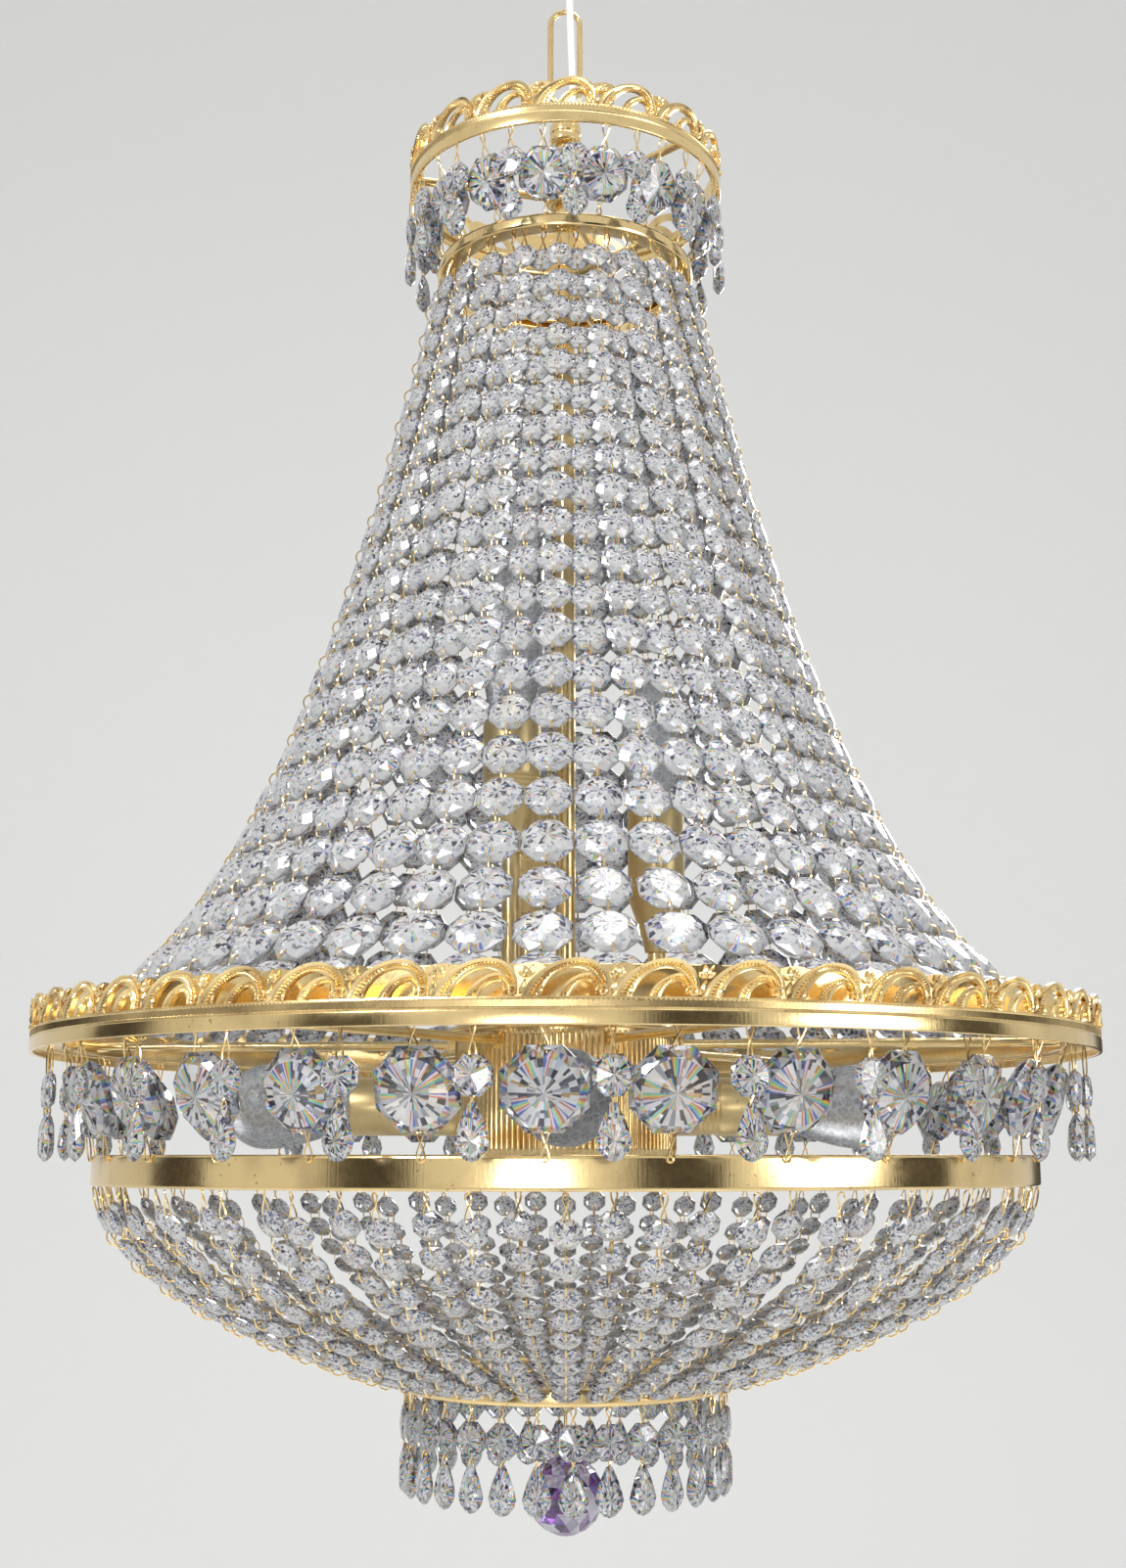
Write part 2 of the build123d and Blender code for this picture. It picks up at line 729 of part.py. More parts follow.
# --------------------------------------------------------------- strung crystals
drape_widths = [width for width, rows in drape_rows.items() for row in range(rows)]
drape_line = strand_profile(
    (drape_top_radius, neck_edge), drape_pull, (main_inner_radius, drape_end_height))
drape_slack = drape_line.length - sum(drape_widths) - drape_first_hook - drape_last_hook
drape_gap = drape_slack / (len(drape_widths) - 1)
drape_places = stone_places(drape_line, drape_widths, drape_first_hook, drape_gap, drape_strands)

basket_widths = [basket_stone] * basket_rows
basket_line = strand_profile(
    (basket_top_radius, basket_edge), basket_pull, (foot_radius, foot_top - foot_height / 4))
basket_slack = basket_line.length - sum(basket_widths) - basket_first_hook - basket_last_hook
basket_gap = basket_slack / (len(basket_widths) - 1)
basket_shift = (basket_stone * stone_thickness_share + running_gap) / 2
basket_places = stone_places(
    basket_line, basket_widths, basket_first_hook, basket_gap, basket_strands, basket_shift)
print("drape strand", round(drape_line.length, 1), "gap", round(drape_gap, 2))
print("basket strand", round(basket_line.length, 1), "gap", round(basket_gap, 2))


def strand_stones(stone, places, width, azimuths):
    """All stones of one width, each strand of the ring in its own layer."""
    solids = []
    for step, turn in enumerate(azimuths):
        side = 1 if step % 2 == 0 else -1
        for radius, height, lean, stone_width, shift in places:
            if stone_width == width:
                out = (side * shift * cos(radians(lean)), side * shift * sin(radians(lean)))
                spot = ring_plane(turn, radius + out[0], height + out[1], lean)
                solids.append(stone.solid().moved(spot))
    return solids


def save_group(name, solids):
    """Write a group of like pieces as one node of separate solids."""
    with BuildPart() as made:
        add(solids, mode=Mode.REPLACE)
    save(made, name)


drape_azimuths = around(drape_strands, drape_first)
for group, widths in drape_groups.items():
    stones = []
    for width in widths:
        stones += strand_stones(octagon_stone(width), drape_places, width, drape_azimuths)
    save_group(f"drape_octagons_{group}", stones)
basket_azimuths = around(basket_strands, basket_first)
save_group("basket_octagons", strand_stones(
    plain_stone(basket_stone), basket_places, basket_stone, basket_azimuths))

strand_end_trims = (2 * seat_gap, hook_width / 2)
strand_wires = []
for side in (1, -1):
    skip = 0 if side == 1 else 1
    top = (drape_top_radius + side * drape_places[0][4], neck_edge)
    end = (main_inner_radius, drape_end_height)
    pieces = strand_hooks(drape_places, side, top, end, seat_gap, strand_end_trims)
    strand_wires += hooks(pieces, drape_azimuths[skip::2])
    top = (basket_top_radius + side * basket_shift, basket_edge)
    if side == 1:
        end = (foot_radius, foot_top - foot_height / 2)
    else:
        end = (foot_radius - ring_wall, foot_top + hook_width / 2)
    pieces = strand_hooks(basket_places, side, top, end, flat_seat_gap, strand_end_trims)
    strand_wires += hooks(pieces, basket_azimuths[skip::2])
save_group("strand_hooks", strand_wires)


def hung_stones(name, width, azimuths, top, end, hook_length):
    """Stones each hooked to one ring above and another below, and their hooks."""
    run = hypot(end[0] - top[0], end[1] - top[1])
    along = ((end[0] - top[0]) / run, (end[1] - top[1]) / run)
    lean = degrees(atan2(along[0], -along[1]))
    middle = hook_length + width / 2
    place = (top[0] + along[0] * middle, top[1] + along[1] * middle, lean, width, 0.0)
    stone = octagon_stone(width)
    spots = [ring_plane(turn, place[0], place[1], lean) for turn in azimuths]
    save_group(f"{name}_octagons", [stone.solid().moved(spot) for spot in spots])
    return hooks(strand_hooks([place], 1, top, end, seat_gap, (3 * seat_gap, 3 * seat_gap)), azimuths)


ring_middle = ring_wall / 2
hung_hooks = hung_stones(
    "large", large_stone, around(large_count, large_first),
    (main_inner_radius + ring_middle, main_inner_edge), (basket_radius - ring_middle, basket_top), large_hook)
hung_hooks += hung_stones(
    "crown", crown_stone, around(crown_count, crown_first),
    (crown_radius - ring_middle, crown_edge), (neck_radius - ring_middle, neck_top), crown_hook)
save_group("octagon_hooks", hung_hooks)

# --------------------------------------------------------------------- pendants
button_stone = octagon_stone(button)
pear_stone = drop_stone(drop_width, drop_length, drop_thickness)


def pendant(azimuth, radius, top, hook_length, clearance):
    """Solids of one pendant: its hook, button, link and drop."""
    button_top = top - hook_length
    drop_top = button_top - button - pendant_gap
    hook = hook_between((radius, top), (radius, button_top), clearance, seat_gap, hook_width)
    link = hook_between((radius, button_top - button), (radius, drop_top), seat_gap, seat_gap, hook_width)
    stone_spot = ring_plane(azimuth, radius, button_top - button / 2)
    drop_spot = ring_plane(azimuth, radius, drop_top)
    bars = hooks([hook, link], [azimuth])
    return bars, button_stone.solid().moved(stone_spot), pear_stone.solid().moved(drop_spot)


crown_pendant_azimuths = around(crown_count, crown_first + 180 / crown_count)
for number, turn in enumerate(crown_pendant_azimuths, start=1):
    bars, stone, drop = pendant(turn, crown_radius - ring_middle, crown_edge, crown_pendant_hook,
                                running_gap + hook_width / 2)
    save_group(f"crown_pendant_{number:02d}", bars + [stone, drop])


pendant_bars, pendant_stones, pendant_drops = [], [], []
fixed_rows = (
    (around(large_count, large_first + 180 / large_count), main_pendant_radius,
     main_shelf_height - ring_wall, main_pendant_hook),
    (around(foot_count, foot_first), foot_radius - ring_middle, foot_edge, foot_pendant_hook),
)
for azimuths, radius, top, hook_length in fixed_rows:
    for turn in azimuths:
        bars, stone, drop = pendant(turn, radius, top, hook_length, seat_gap)
        pendant_bars += bars
        pendant_stones.append(stone)
        pendant_drops.append(drop)
save_group("pendant_hooks", pendant_bars)
save_group("pendant_buttons", pendant_stones)
save_group("pendant_drops", pendant_drops)

# ------------------------------------------------------------- foot and its ball
foot_spoke_height = foot_edge + foot_height / 2
foot_hub_low = foot_spoke_height - foot_spoke_diameter / 2
foot_eye_height = foot_hub_low - ball_eye - ball_wire / 4
ball_hinge_height = foot_eye_height - ball_eye
ball_eye_height = ball_hinge_height + ball_wire + running_gap / 2 - ball_eye
ball_top = ball_height + ball_diameter / 2
with BuildPart() as foot_spider:
    with BuildSketch(Plane.XY.offset(foot_hub_low)):
        Circle(foot_hub_diameter / 2)
    extrude(amount=foot_spoke_diameter)
    for turn in around(foot_spokes, 180 / foot_spokes):
        out = (sin(radians(turn)), -cos(radians(turn)), 0)
        with BuildSketch(Plane((0, 0, foot_spoke_height), z_dir=out)):
            Circle(foot_spoke_diameter / 2)
        extrude(amount=foot_inner_radius)
    with BuildSketch(Plane((ball_eye, 0, foot_eye_height), x_dir=(1, 0, 0), z_dir=(0, 0, 1))):
        Circle(ball_wire / 2)
    revolve(axis=Axis((0, 0, foot_eye_height), (0, 1, 0)))
save(foot_spider, "foot_spider")

with BuildPart() as ball_hook:
    with BuildSketch(Plane((0, ball_eye, ball_eye_height), x_dir=(0, 1, 0), z_dir=(0, 0, 1))):
        Circle(ball_wire / 2)
    revolve(axis=Axis((0, 0, ball_eye_height), (1, 0, 0)))
    with BuildSketch(Plane.XY.offset(ball_top)):
        Circle(ball_wire / 2)
    extrude(amount=ball_eye_height - ball_eye - ball_top)
    with BuildSketch(Plane.XY.offset(ball_top)):
        Circle(ball_cap_diameter / 2)
    extrude(amount=ball_wire)
save(ball_hook, "ball_hook")

with BuildPart() as crystal_ball:
    Box(ball_blank, ball_blank, ball_diameter)
    for row, tilt in enumerate(ball_facet_tilts):
        for step in range(ball_facets):
            turn = radians(360 / ball_facets * (step + row % 2 / 2))
            flat = cos(radians(tilt))
            facing = Vector(flat * cos(turn), flat * sin(turn), sin(radians(tilt)))
            split(bisect_by=Plane(facing * (ball_diameter / 2), z_dir=facing), keep=Keep.BOTTOM)
save_group("crystal_ball", [crystal_ball.solid().moved(Location((0, 0, ball_height)))])
print("swing about X at", round(link_bottom, 3), "and ball swing at", round(ball_hinge_height, 3))
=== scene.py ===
"""Crystal chandelier: gilt rings on a central column, strung with cut crystal.

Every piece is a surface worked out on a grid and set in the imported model's frame.
Metres, +Z up, the origin at the hanging point, the front towards -Y.  Azimuths are
degrees from the front, positive towards +X.
"""

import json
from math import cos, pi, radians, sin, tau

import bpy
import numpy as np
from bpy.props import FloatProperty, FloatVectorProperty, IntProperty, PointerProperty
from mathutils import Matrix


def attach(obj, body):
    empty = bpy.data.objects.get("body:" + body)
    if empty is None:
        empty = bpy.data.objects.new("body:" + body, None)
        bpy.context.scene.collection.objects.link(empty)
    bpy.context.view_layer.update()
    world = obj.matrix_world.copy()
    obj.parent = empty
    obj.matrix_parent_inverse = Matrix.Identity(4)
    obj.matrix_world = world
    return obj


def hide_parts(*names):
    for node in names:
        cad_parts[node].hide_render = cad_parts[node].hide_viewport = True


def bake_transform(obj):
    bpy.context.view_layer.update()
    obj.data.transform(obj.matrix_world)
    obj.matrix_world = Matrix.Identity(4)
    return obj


bl_info = {
    "name": "Crystal Chandelier",
    "version": (1, 0, 0),
    "blender": (4, 5, 0),
    "location": "View3D > Sidebar > Chandelier",
    "description": "Gilt rings, cut crystal and lamps of a hanging chandelier",
    "category": "Add Mesh",
}

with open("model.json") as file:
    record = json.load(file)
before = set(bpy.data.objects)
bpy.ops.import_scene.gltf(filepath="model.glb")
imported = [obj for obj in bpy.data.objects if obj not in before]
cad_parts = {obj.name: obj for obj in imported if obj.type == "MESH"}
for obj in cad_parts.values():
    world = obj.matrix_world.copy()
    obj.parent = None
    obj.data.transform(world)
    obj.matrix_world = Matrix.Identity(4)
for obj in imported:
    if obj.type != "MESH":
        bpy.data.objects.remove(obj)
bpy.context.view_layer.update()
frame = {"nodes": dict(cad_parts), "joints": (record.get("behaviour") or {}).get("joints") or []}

MM = 0.001
BODY = "frame"
SHARP_EDGE = radians(38)      # a metal edge that bends by more isn't smoothed

# ------------------------------------------------------------- rings, millimetres
HOOP_TOP = 6.4                # height of the crown and main hoops
WALL = 2.0
GALLERY_REPEATS = {"crown": 16, "main": 48}
CROWN = {"radius": 91.5, "edge": -122.8, "shelf": 5.2}
NECK = {"radius": 74.4, "edge": -174.7, "height": 7.2, "width": 10.4}
MAIN = {"radius": 280.0, "edge": -625.0, "shelf": 18.0, "inner": 22.0, "drop": 4.0}
BASKET = {"radius": 246.8, "edge": -690.6, "height": 15.0, "lip": 9.0}
FOOT = {"radius": 84.3, "edge": -795.0, "height": 8.7, "width": 7.0}

# ------------------------------------------------------------ column and hub, mm
LINK = {"wire": 3.5, "width": 21.0, "length": 65.0}
LOOP = {"wire": 4.0, "radius": 7.65, "centre": -63.35}
COLLAR = {"top": -73.0, "height": 13.0}
COLUMN_RADIUS = 5.5
HUB = {"radius": 59.5, "top": -611.0, "height": 67.0, "flutes": 121, "flute": 0.8}
COVER = {"thickness": 3.0, "overhang": 3.5}

# -------------------------------------------------------------------- lamps, mm
CUP_RADIUS = 15.5
CUP_WALL = 1.5
THREAD = {"length": 13.0, "turns": 5, "depth": 0.75}
BORE = {"lead": 2.6, "cap": 7.1, "cap_end": -32.0, "seat": -12.8}
CANDLE = {
    "circle": 50.0, "tube": 36.0, "taper": 29.0, "stem": 5.0, "bulb": 35.0, "bulb_length": 84.0,
}
CANDLES = {"left": (-35.0, -440.5), "right": (85.0, -489.5), "back": (205.0, -462.0)}
SIDE = {"height": -650.0, "reach": 115.0, "cup": 64.0, "bulb": 45.0, "bulb_length": 68.0}
SIDES = {"front": 0.0, "right": 90.0, "back": 180.0, "left": 270.0}
BULB_NECK = 13.0
BULB_SEAT = 11.7
CAP = {"radius": 6.8, "length": 20.0, "turns": 5, "thread": 15.0, "depth": 0.6}

# --------------------------------------------------------------- strung stones, mm
THICKNESS_SHARE = 0.42
TABLE_SHARE = 0.56
DRAPE = {
    "count": 48, "first": -2.6, "start": (69.5, -174.7), "pull": (152.0, -567.4),
    "end": (262.0, -610.0), "first_hook": 12.0, "last_hook": 8.0,
}
DRAPE_ROWS = {14.0: 4, 16.0: 4, 18.0: 4, 20.0: 3, 22.0: 2, 24.0: 2, 26.0: 2}
DRAPE_GROUPS = {"upper": (14.0, 16.0), "middle": (18.0, 20.0), "lower": (22.0, 24.0, 26.0)}
BASKET_STRAND = {
    "count": 76, "first": 0.0, "start": (242.0, -690.6), "pull": (229.6, -746.5),
    "end": (84.3, -788.475), "first_hook": 10.0, "last_hook": 6.0, "least_shift": 3.09,
}
BASKET_ROWS = {14.0: 10}
LARGE = {"count": 30, "first": -2.0, "width": 37.0, "hook": 11.3}
CROWN_STONE = {"count": 16, "first": -8.0, "width": 29.0, "hook": 12.0}
BUTTON = 17.0
DROP = {"width": 14.5, "length": 23.5, "thickness": 6.5, "gap": 2.4}
CROWN_HANG = {"radius": 90.5, "top": -122.8, "hook": 12.5, "count": 16, "first": 3.25}
MAIN_HANG = {"radius": 271.0, "top": -620.6, "hook": 15.3, "count": 30, "first": 4.0}
FOOT_HANG = {"radius": 83.3, "top": -795.0, "hook": 8.0, "count": 30, "first": 2.5}
BALL = {"diameter": 40.0, "height": -848.6, "wire": 1.8, "eye": 3.8, "cap": 4.5}


# ---------------------------------------------------------------- surfaces in numpy
class Surface:
    """Points, and faces kept as one run of corners with the size of each face.  A cut stone
    also has a chance tone for each face, and for each point its spot on the stone's face:
    (x, y) from -1 to 1 about the middle."""

    def __init__(self, points, corners, sizes, tones=None, spots=None):
        self.points = np.asarray(points, float).reshape(-1, 3)
        self.corners = np.asarray(corners, np.int64).ravel()
        self.sizes = np.asarray(sizes, np.int64).ravel()
        self.tones = np.zeros(len(self.sizes)) if tones is None else tones
        self.spots = np.zeros((len(self.points), 2)) if spots is None else spots

    def moved(self, axes, origins):
        """Copies placed by rows of axes (m, 3, 3) and origins (m, 3): p = o + x X + y Y + z Z."""
        count = len(origins)
        points = np.einsum("nk,mkj->mnj", self.points, axes) + origins[:, None, :]
        shift = np.arange(count)[:, None] * len(self.points)
        corners = self.corners[None, :] + shift
        return Surface(points, corners, np.tile(self.sizes, count), np.tile(self.tones, count),
                       np.tile(self.spots, (count, 1)))

    def toned(self, seed):
        """The same faces with random tones from 0 to 1."""
        tones = np.random.default_rng(seed).random(len(self.sizes))
        return Surface(self.points, self.corners, self.sizes, tones, self.spots)


def joined(surfaces):
    """Several surfaces as one."""
    starts = np.cumsum([0] + [len(s.points) for s in surfaces])
    return Surface(
        np.concatenate([s.points for s in surfaces]),
        np.concatenate([s.corners + start for s, start in zip(surfaces, starts)]),
        np.concatenate([s.sizes for s in surfaces]),
        np.concatenate([s.tones for s in surfaces]),
        np.concatenate([s.spots for s in surfaces]),
    )


def grid_surface(points, wrap_u=False, wrap_v=False):
    """Quads between the points of a grid (u, v, 3), closed round u or v when told."""
    rows, columns = points.shape[:2]
    u = np.arange(rows if wrap_u else rows - 1)
    v = np.arange(columns if wrap_v else columns - 1)
    u, v = np.meshgrid(u, v, indexing="ij")
    u1, v1 = (u + 1) % rows, (v + 1) % columns
    corners = np.stack([u * columns + v, u1 * columns + v, u1 * columns + v1, u * columns + v1],
                       -1)
    return Surface(points, corners, np.full(corners.size // 4, 4))


def capped(surface, ring):
    """The surface with one more face over a ring of its points."""
    return Surface(surface.points, np.append(surface.corners, ring),
                   np.append(surface.sizes, len(ring)))


def ended(surface, rows, count):
    """A surface of rows of points, each a ring, closed flat at its first row and its last."""
    ring = np.arange(count)
    return capped(capped(surface, ring), ring[::-1] + (rows - 1) * count)


def turned(profile, count):
    """Points of a profile (r, z) turned about Z: x = r sin a, y = -r cos a, z = z."""
    turn = tau * np.arange(count) / count
    points = np.empty((len(profile), count, 3))
    points[..., 0] = profile[:, :1] * np.sin(turn)
    points[..., 1] = -profile[:, :1] * np.cos(turn)
    points[..., 2] = profile[:, 1:]
    return points


def lathe(profile, count, centre=(0.0, 0.0)):
    """A closed profile (r, z) turned about an upright axis.  A profile that runs anticlockwise,
    with a positive area sum (r z' - r' z) / 2, is reversed, so that the faces look outward."""
    profile = np.asarray(profile, float)
    r, z = profile.T
    if np.sum(r * np.roll(z, -1) - np.roll(r, -1) * z) > 0:
        profile = profile[::-1]
    return grid_surface(turned(profile, count) + (*centre, 0.0), wrap_u=True, wrap_v=True)


def spindle(profile, count):
    """An open profile (r, z) from bottom to top turned about Z, its two ends closed flat."""
    points = turned(np.asarray(profile, float), count)
    return ended(grid_surface(points[:, ::-1], wrap_v=True), len(profile), count)


def tube(path, radius, sides, normal, closed=False):
    """A round tube: c(t) + r (cos a N + sin a B), with N the given normal made square to
    the path's direction T and B = T x N.  Open ends are closed flat."""
    path = np.asarray(path, float)
    if closed:
        along = np.roll(path, -1, 0) - np.roll(path, 1, 0)
    else:
        along = np.gradient(path, axis=0)
    along /= np.linalg.norm(along, axis=1, keepdims=True)
    normal = np.asarray(normal, float) - along * (along @ np.asarray(normal, float))[:, None]
    normal /= np.linalg.norm(normal, axis=1, keepdims=True)
    across = np.cross(along, normal)
    turn = tau * np.arange(sides) / sides
    reach = np.broadcast_to(np.asarray(radius, float), (len(path),))[:, None, None]
    cosine, sine = np.cos(turn)[None, :, None], np.sin(turn)[None, :, None]
    ring = cosine * normal[:, None] + sine * across[:, None]
    points = (path[:, None] + reach * ring)[:, ::-1]
    made = grid_surface(points, wrap_u=closed, wrap_v=True)
    return made if closed else ended(made, len(path), sides)


def rounded(outline, radius, steps=3):
    """A closed outline (k, 2) with each corner P cut back by the radius along both sides and
    bridged by the quadratic curve (1-t)^2 A + 2 t (1-t) P + t^2 B."""
    outline = np.asarray(outline, float)
    before = np.roll(outline, 1, 0) - outline
    after = np.roll(outline, -1, 0) - outline
    length_before = np.linalg.norm(before, axis=1, keepdims=True)
    length_after = np.linalg.norm(after, axis=1, keepdims=True)
    cut = np.minimum(radius, 0.49 * np.minimum(length_before, length_after))
    a = outline + before / length_before * cut
    b = outline + after / length_after * cut
    t = np.linspace(0, 1, steps + 1)[None, :, None]
    curve = (1 - t) ** 2 * a[:, None] + 2 * t * (1 - t) * outline[:, None] + t**2 * b[:, None]
    return curve.reshape(-1, 2)


def arc(start, through, end, count):
    """Points of the circle's arc through three points (r, z)."""
    (ax, ay), (bx, by), (cx, cy) = start, through, end
    d = 2 * (ax * (by - cy) + bx * (cy - ay) + cx * (ay - by))
    a2, b2, c2 = ax * ax + ay * ay, bx * bx + by * by, cx * cx + cy * cy
    x = (a2 * (by - cy) + b2 * (cy - ay) + c2 * (ay - by)) / d
    y = (a2 * (cx - bx) + b2 * (ax - cx) + c2 * (bx - ax)) / d
    first, last = np.arctan2(ay - y, ax - x), np.arctan2(cy - y, cx - x)
    turn = np.linspace(first, last, count)
    radius = np.hypot(ax - x, ay - y)
    return np.stack([x + radius * np.cos(turn), y + radius * np.sin(turn)], 1)


def ring_axes(azimuth, lean=0.0):
    """Axes round a ring: X along it, Y up a strand and Z outward, tilted up by the lean."""
    a, b = np.broadcast_arrays(np.radians(azimuth), np.radians(lean))
    zero = np.zeros_like(a)
    along = np.stack([np.cos(a), np.sin(a), zero], -1)
    up = np.stack([-np.sin(b) * np.sin(a), np.sin(b) * np.cos(a), np.cos(b)], -1)
    out = np.stack([np.cos(b) * np.sin(a), -np.cos(b) * np.cos(a), np.sin(b)], -1)
    return np.stack([along, up, out], -2)


def ring_points(azimuth, radius, height):
    """Points round a ring, broadcast over azimuth, radius and height."""
    a, r, z = np.broadcast_arrays(np.radians(azimuth), radius, height)
    return np.stack([r * np.sin(a), -r * np.cos(a), z], -1)


def around(count, first):
    """Azimuths of an even ring of places."""
    return first + 360.0 / count * np.arange(count)


# -------------------------------------------------------------------- cut stones
def zigzag(row, low, high, count):
    """Triangles between two rings of points that lie half a step apart: forward after an even
    row and back after an odd one."""
    k = np.arange(count)
    k1 = (k + 1) % count
    if row % 2 == 0:
        strip = [(low + k, low + k1, high + k), (low + k1, high + k1, high + k)]
    else:
        strip = [(low + k, high + k1, high + k), (low + k, low + k1, high + k1)]
    return [np.stack(triple, 1) for triple in strip]
def cut_stone(outline, thickness, rows, centre=(0.0, 0.0), girdle=0.7):
    """A stone cut alike front and back.  Its outline has n corners; each row (scale, height)
    scales that outline about its centre, rows in turn on midway points and on corners, so
    that triangles fill the strip from one row to the next.  From the last row n wedges meet
    over the centre, at the full thickness."""
    outline = np.asarray(outline, float)
    centre = np.asarray(centre, float)
    count = len(outline)
    midway = (outline + np.roll(outline, -1, 0)) / 2
    levels = [(outline, girdle / 2)]
    for step, (scale, height) in enumerate(rows):
        base = midway if step % 2 == 0 else outline
        levels.append((centre + (base - centre) * scale, height * thickness / 2))
    k = np.arange(count)
    k1 = (k + 1) % count
    block = len(levels) * count + 1
    points, corners = [], []
    for side, start in ((1, 0), (-1, block)):
        for ring, height in levels:
            points.append(np.column_stack([ring, np.full(count, side * height)]))
        points.append([[*centre, side * thickness / 2]])
        for step in range(len(levels) - 1):
            strip = zigzag(step, start + step * count, start + (step + 1) * count, count)
            corners += [triangles[:, ::side] for triangles in strip]
        last = start + (len(levels) - 1) * count
        wedges = np.stack([last + k, last + k1, np.full(count, start + block - 1)], 1)
        corners.append(wedges[:, ::side])
    triangles = np.concatenate(corners)
    belt = np.stack([k, block + k, block + k1, k1], 1)
    points = np.concatenate(points)
    sizes = np.repeat([3, 4], [len(triangles), count])
    half = np.ptp(outline, axis=0) / 2
    spots = (points[:, :2] - centre) / half
    return Surface(points, np.append(triangles, belt), sizes, spots=spots)


def octagon(width):
    """The eight corners of an octagon, flat side up, as wide as told across its flats."""
    turn = np.radians(22.5 + 45 * np.arange(8))
    return np.stack([np.cos(turn), np.sin(turn)], 1) * width / 2 / cos(radians(22.5))


def bead(width):
    """A small strung octagon: two rows of facets, and eight wedges that meet in the middle."""
    return cut_stone(octagon(width), width * THICKNESS_SHARE, [(0.90, 0.50), (TABLE_SHARE, 0.94)])


def star_octagon(width):
    """A large octagon cut as a star: sixteen narrow wedges inside two rows of facets."""
    corners = octagon(width)
    outline = np.stack([corners, (corners + np.roll(corners, -1, 0)) / 2], 1).reshape(-1, 2)
    return cut_stone(outline, width * THICKNESS_SHARE * 0.9, [(0.93, 0.40), (0.80, 0.72)])


def pear_drop(width, length, thickness):
    """A pear: corners on a round belly of half the width, closing to a narrow flat top at
    y = 0 and to a point at y = -length."""
    belly = width / 2
    centre = belly / cos(radians(27)) - length
    top = belly * 0.2
    side_turns = np.radians([30, 0, -32])
    right = [(top, 0.0), (belly * 0.62, centre * 0.42)]
    right += [(belly * cos(t), centre + belly * sin(t)) for t in side_turns]
    right.append((belly * 0.42, centre - belly * 0.98))
    left = [(-x, y) for x, y in reversed(right)]
    outline = np.array((right + [(0.0, -length)] + left)[::-1])
    rows = [(0.82, 0.62), (0.60, 0.92)]
    return cut_stone(outline, thickness, rows, centre=(0.0, centre), girdle=0.5)


def faceted_ball(diameter, rows, count):
    """A ball cut into triangles: rows of points on its parallels, every other row turned half
    a step, closed by a flat table at each pole."""
    tilt = np.radians(np.linspace(-74, 74, rows))[:, None]
    turn = tau * (np.arange(count)[None, :] + (np.arange(rows) % 2)[:, None] / 2) / count
    points = np.stack([np.cos(tilt) * np.sin(turn), -np.cos(tilt) * np.cos(turn),
                       np.broadcast_to(np.sin(tilt), turn.shape)], -1) * diameter / 2
    triangles = np.concatenate([
        strip for row in range(rows - 1)
        for strip in zigzag(row, row * count, (row + 1) * count, count)])
    made = Surface(points, triangles, np.full(len(triangles), 3))
    k = np.arange(count)
    return capped(capped(made, k[::-1]), k + (rows - 1) * count)


def hoop(reach, wire, plane, height=0.0, segments=32, sides=10):
    """A round wire ring about (0, 0, height) in the plane of two axes, such as "yz"."""
    turn = tau * np.arange(segments) / segments
    path = np.zeros((segments, 3))
    path[:, "xyz".index(plane[0])] += reach * np.cos(turn)
    path[:, "xyz".index(plane[1])] += reach * np.sin(turn)
    path[:, 2] += height
    normal = [float(axis not in plane) for axis in "xyz"]
    return tube(path, wire / 2, sides, normal, closed=True)


def crossed_wire(length, width, wire, segments=26, sides=5):
    """A bent wire that crosses itself: x = w/2 sin 2t, y = -l/2 + l/2 cos t, z = wire sin t,
    from a loop at y = 0 to a loop at y = -length."""
    turn = tau * np.arange(segments) / segments
    x = width / 2 * np.sin(2 * turn)
    y = -length / 2 + length / 2 * np.cos(turn)
    z = wire * np.sin(turn)
    return tube(np.stack([x, y, z], 1), wire / 2, sides, (0, 0, 1), closed=True)


def wire_between(azimuths, start, end, width, wire):
    """Crossed wires in radial planes from one place (radius, height) to another."""
    start, end = np.asarray(start, float), np.asarray(end, float)
    run = np.hypot(*(end - start))
    along = (end - start) / run
    lean = np.full(len(azimuths), np.degrees(np.arctan2(along[0], -along[1])))
    made = crossed_wire(run, width, wire)
    return made.moved(ring_axes(azimuths, lean), ring_points(azimuths, *start))


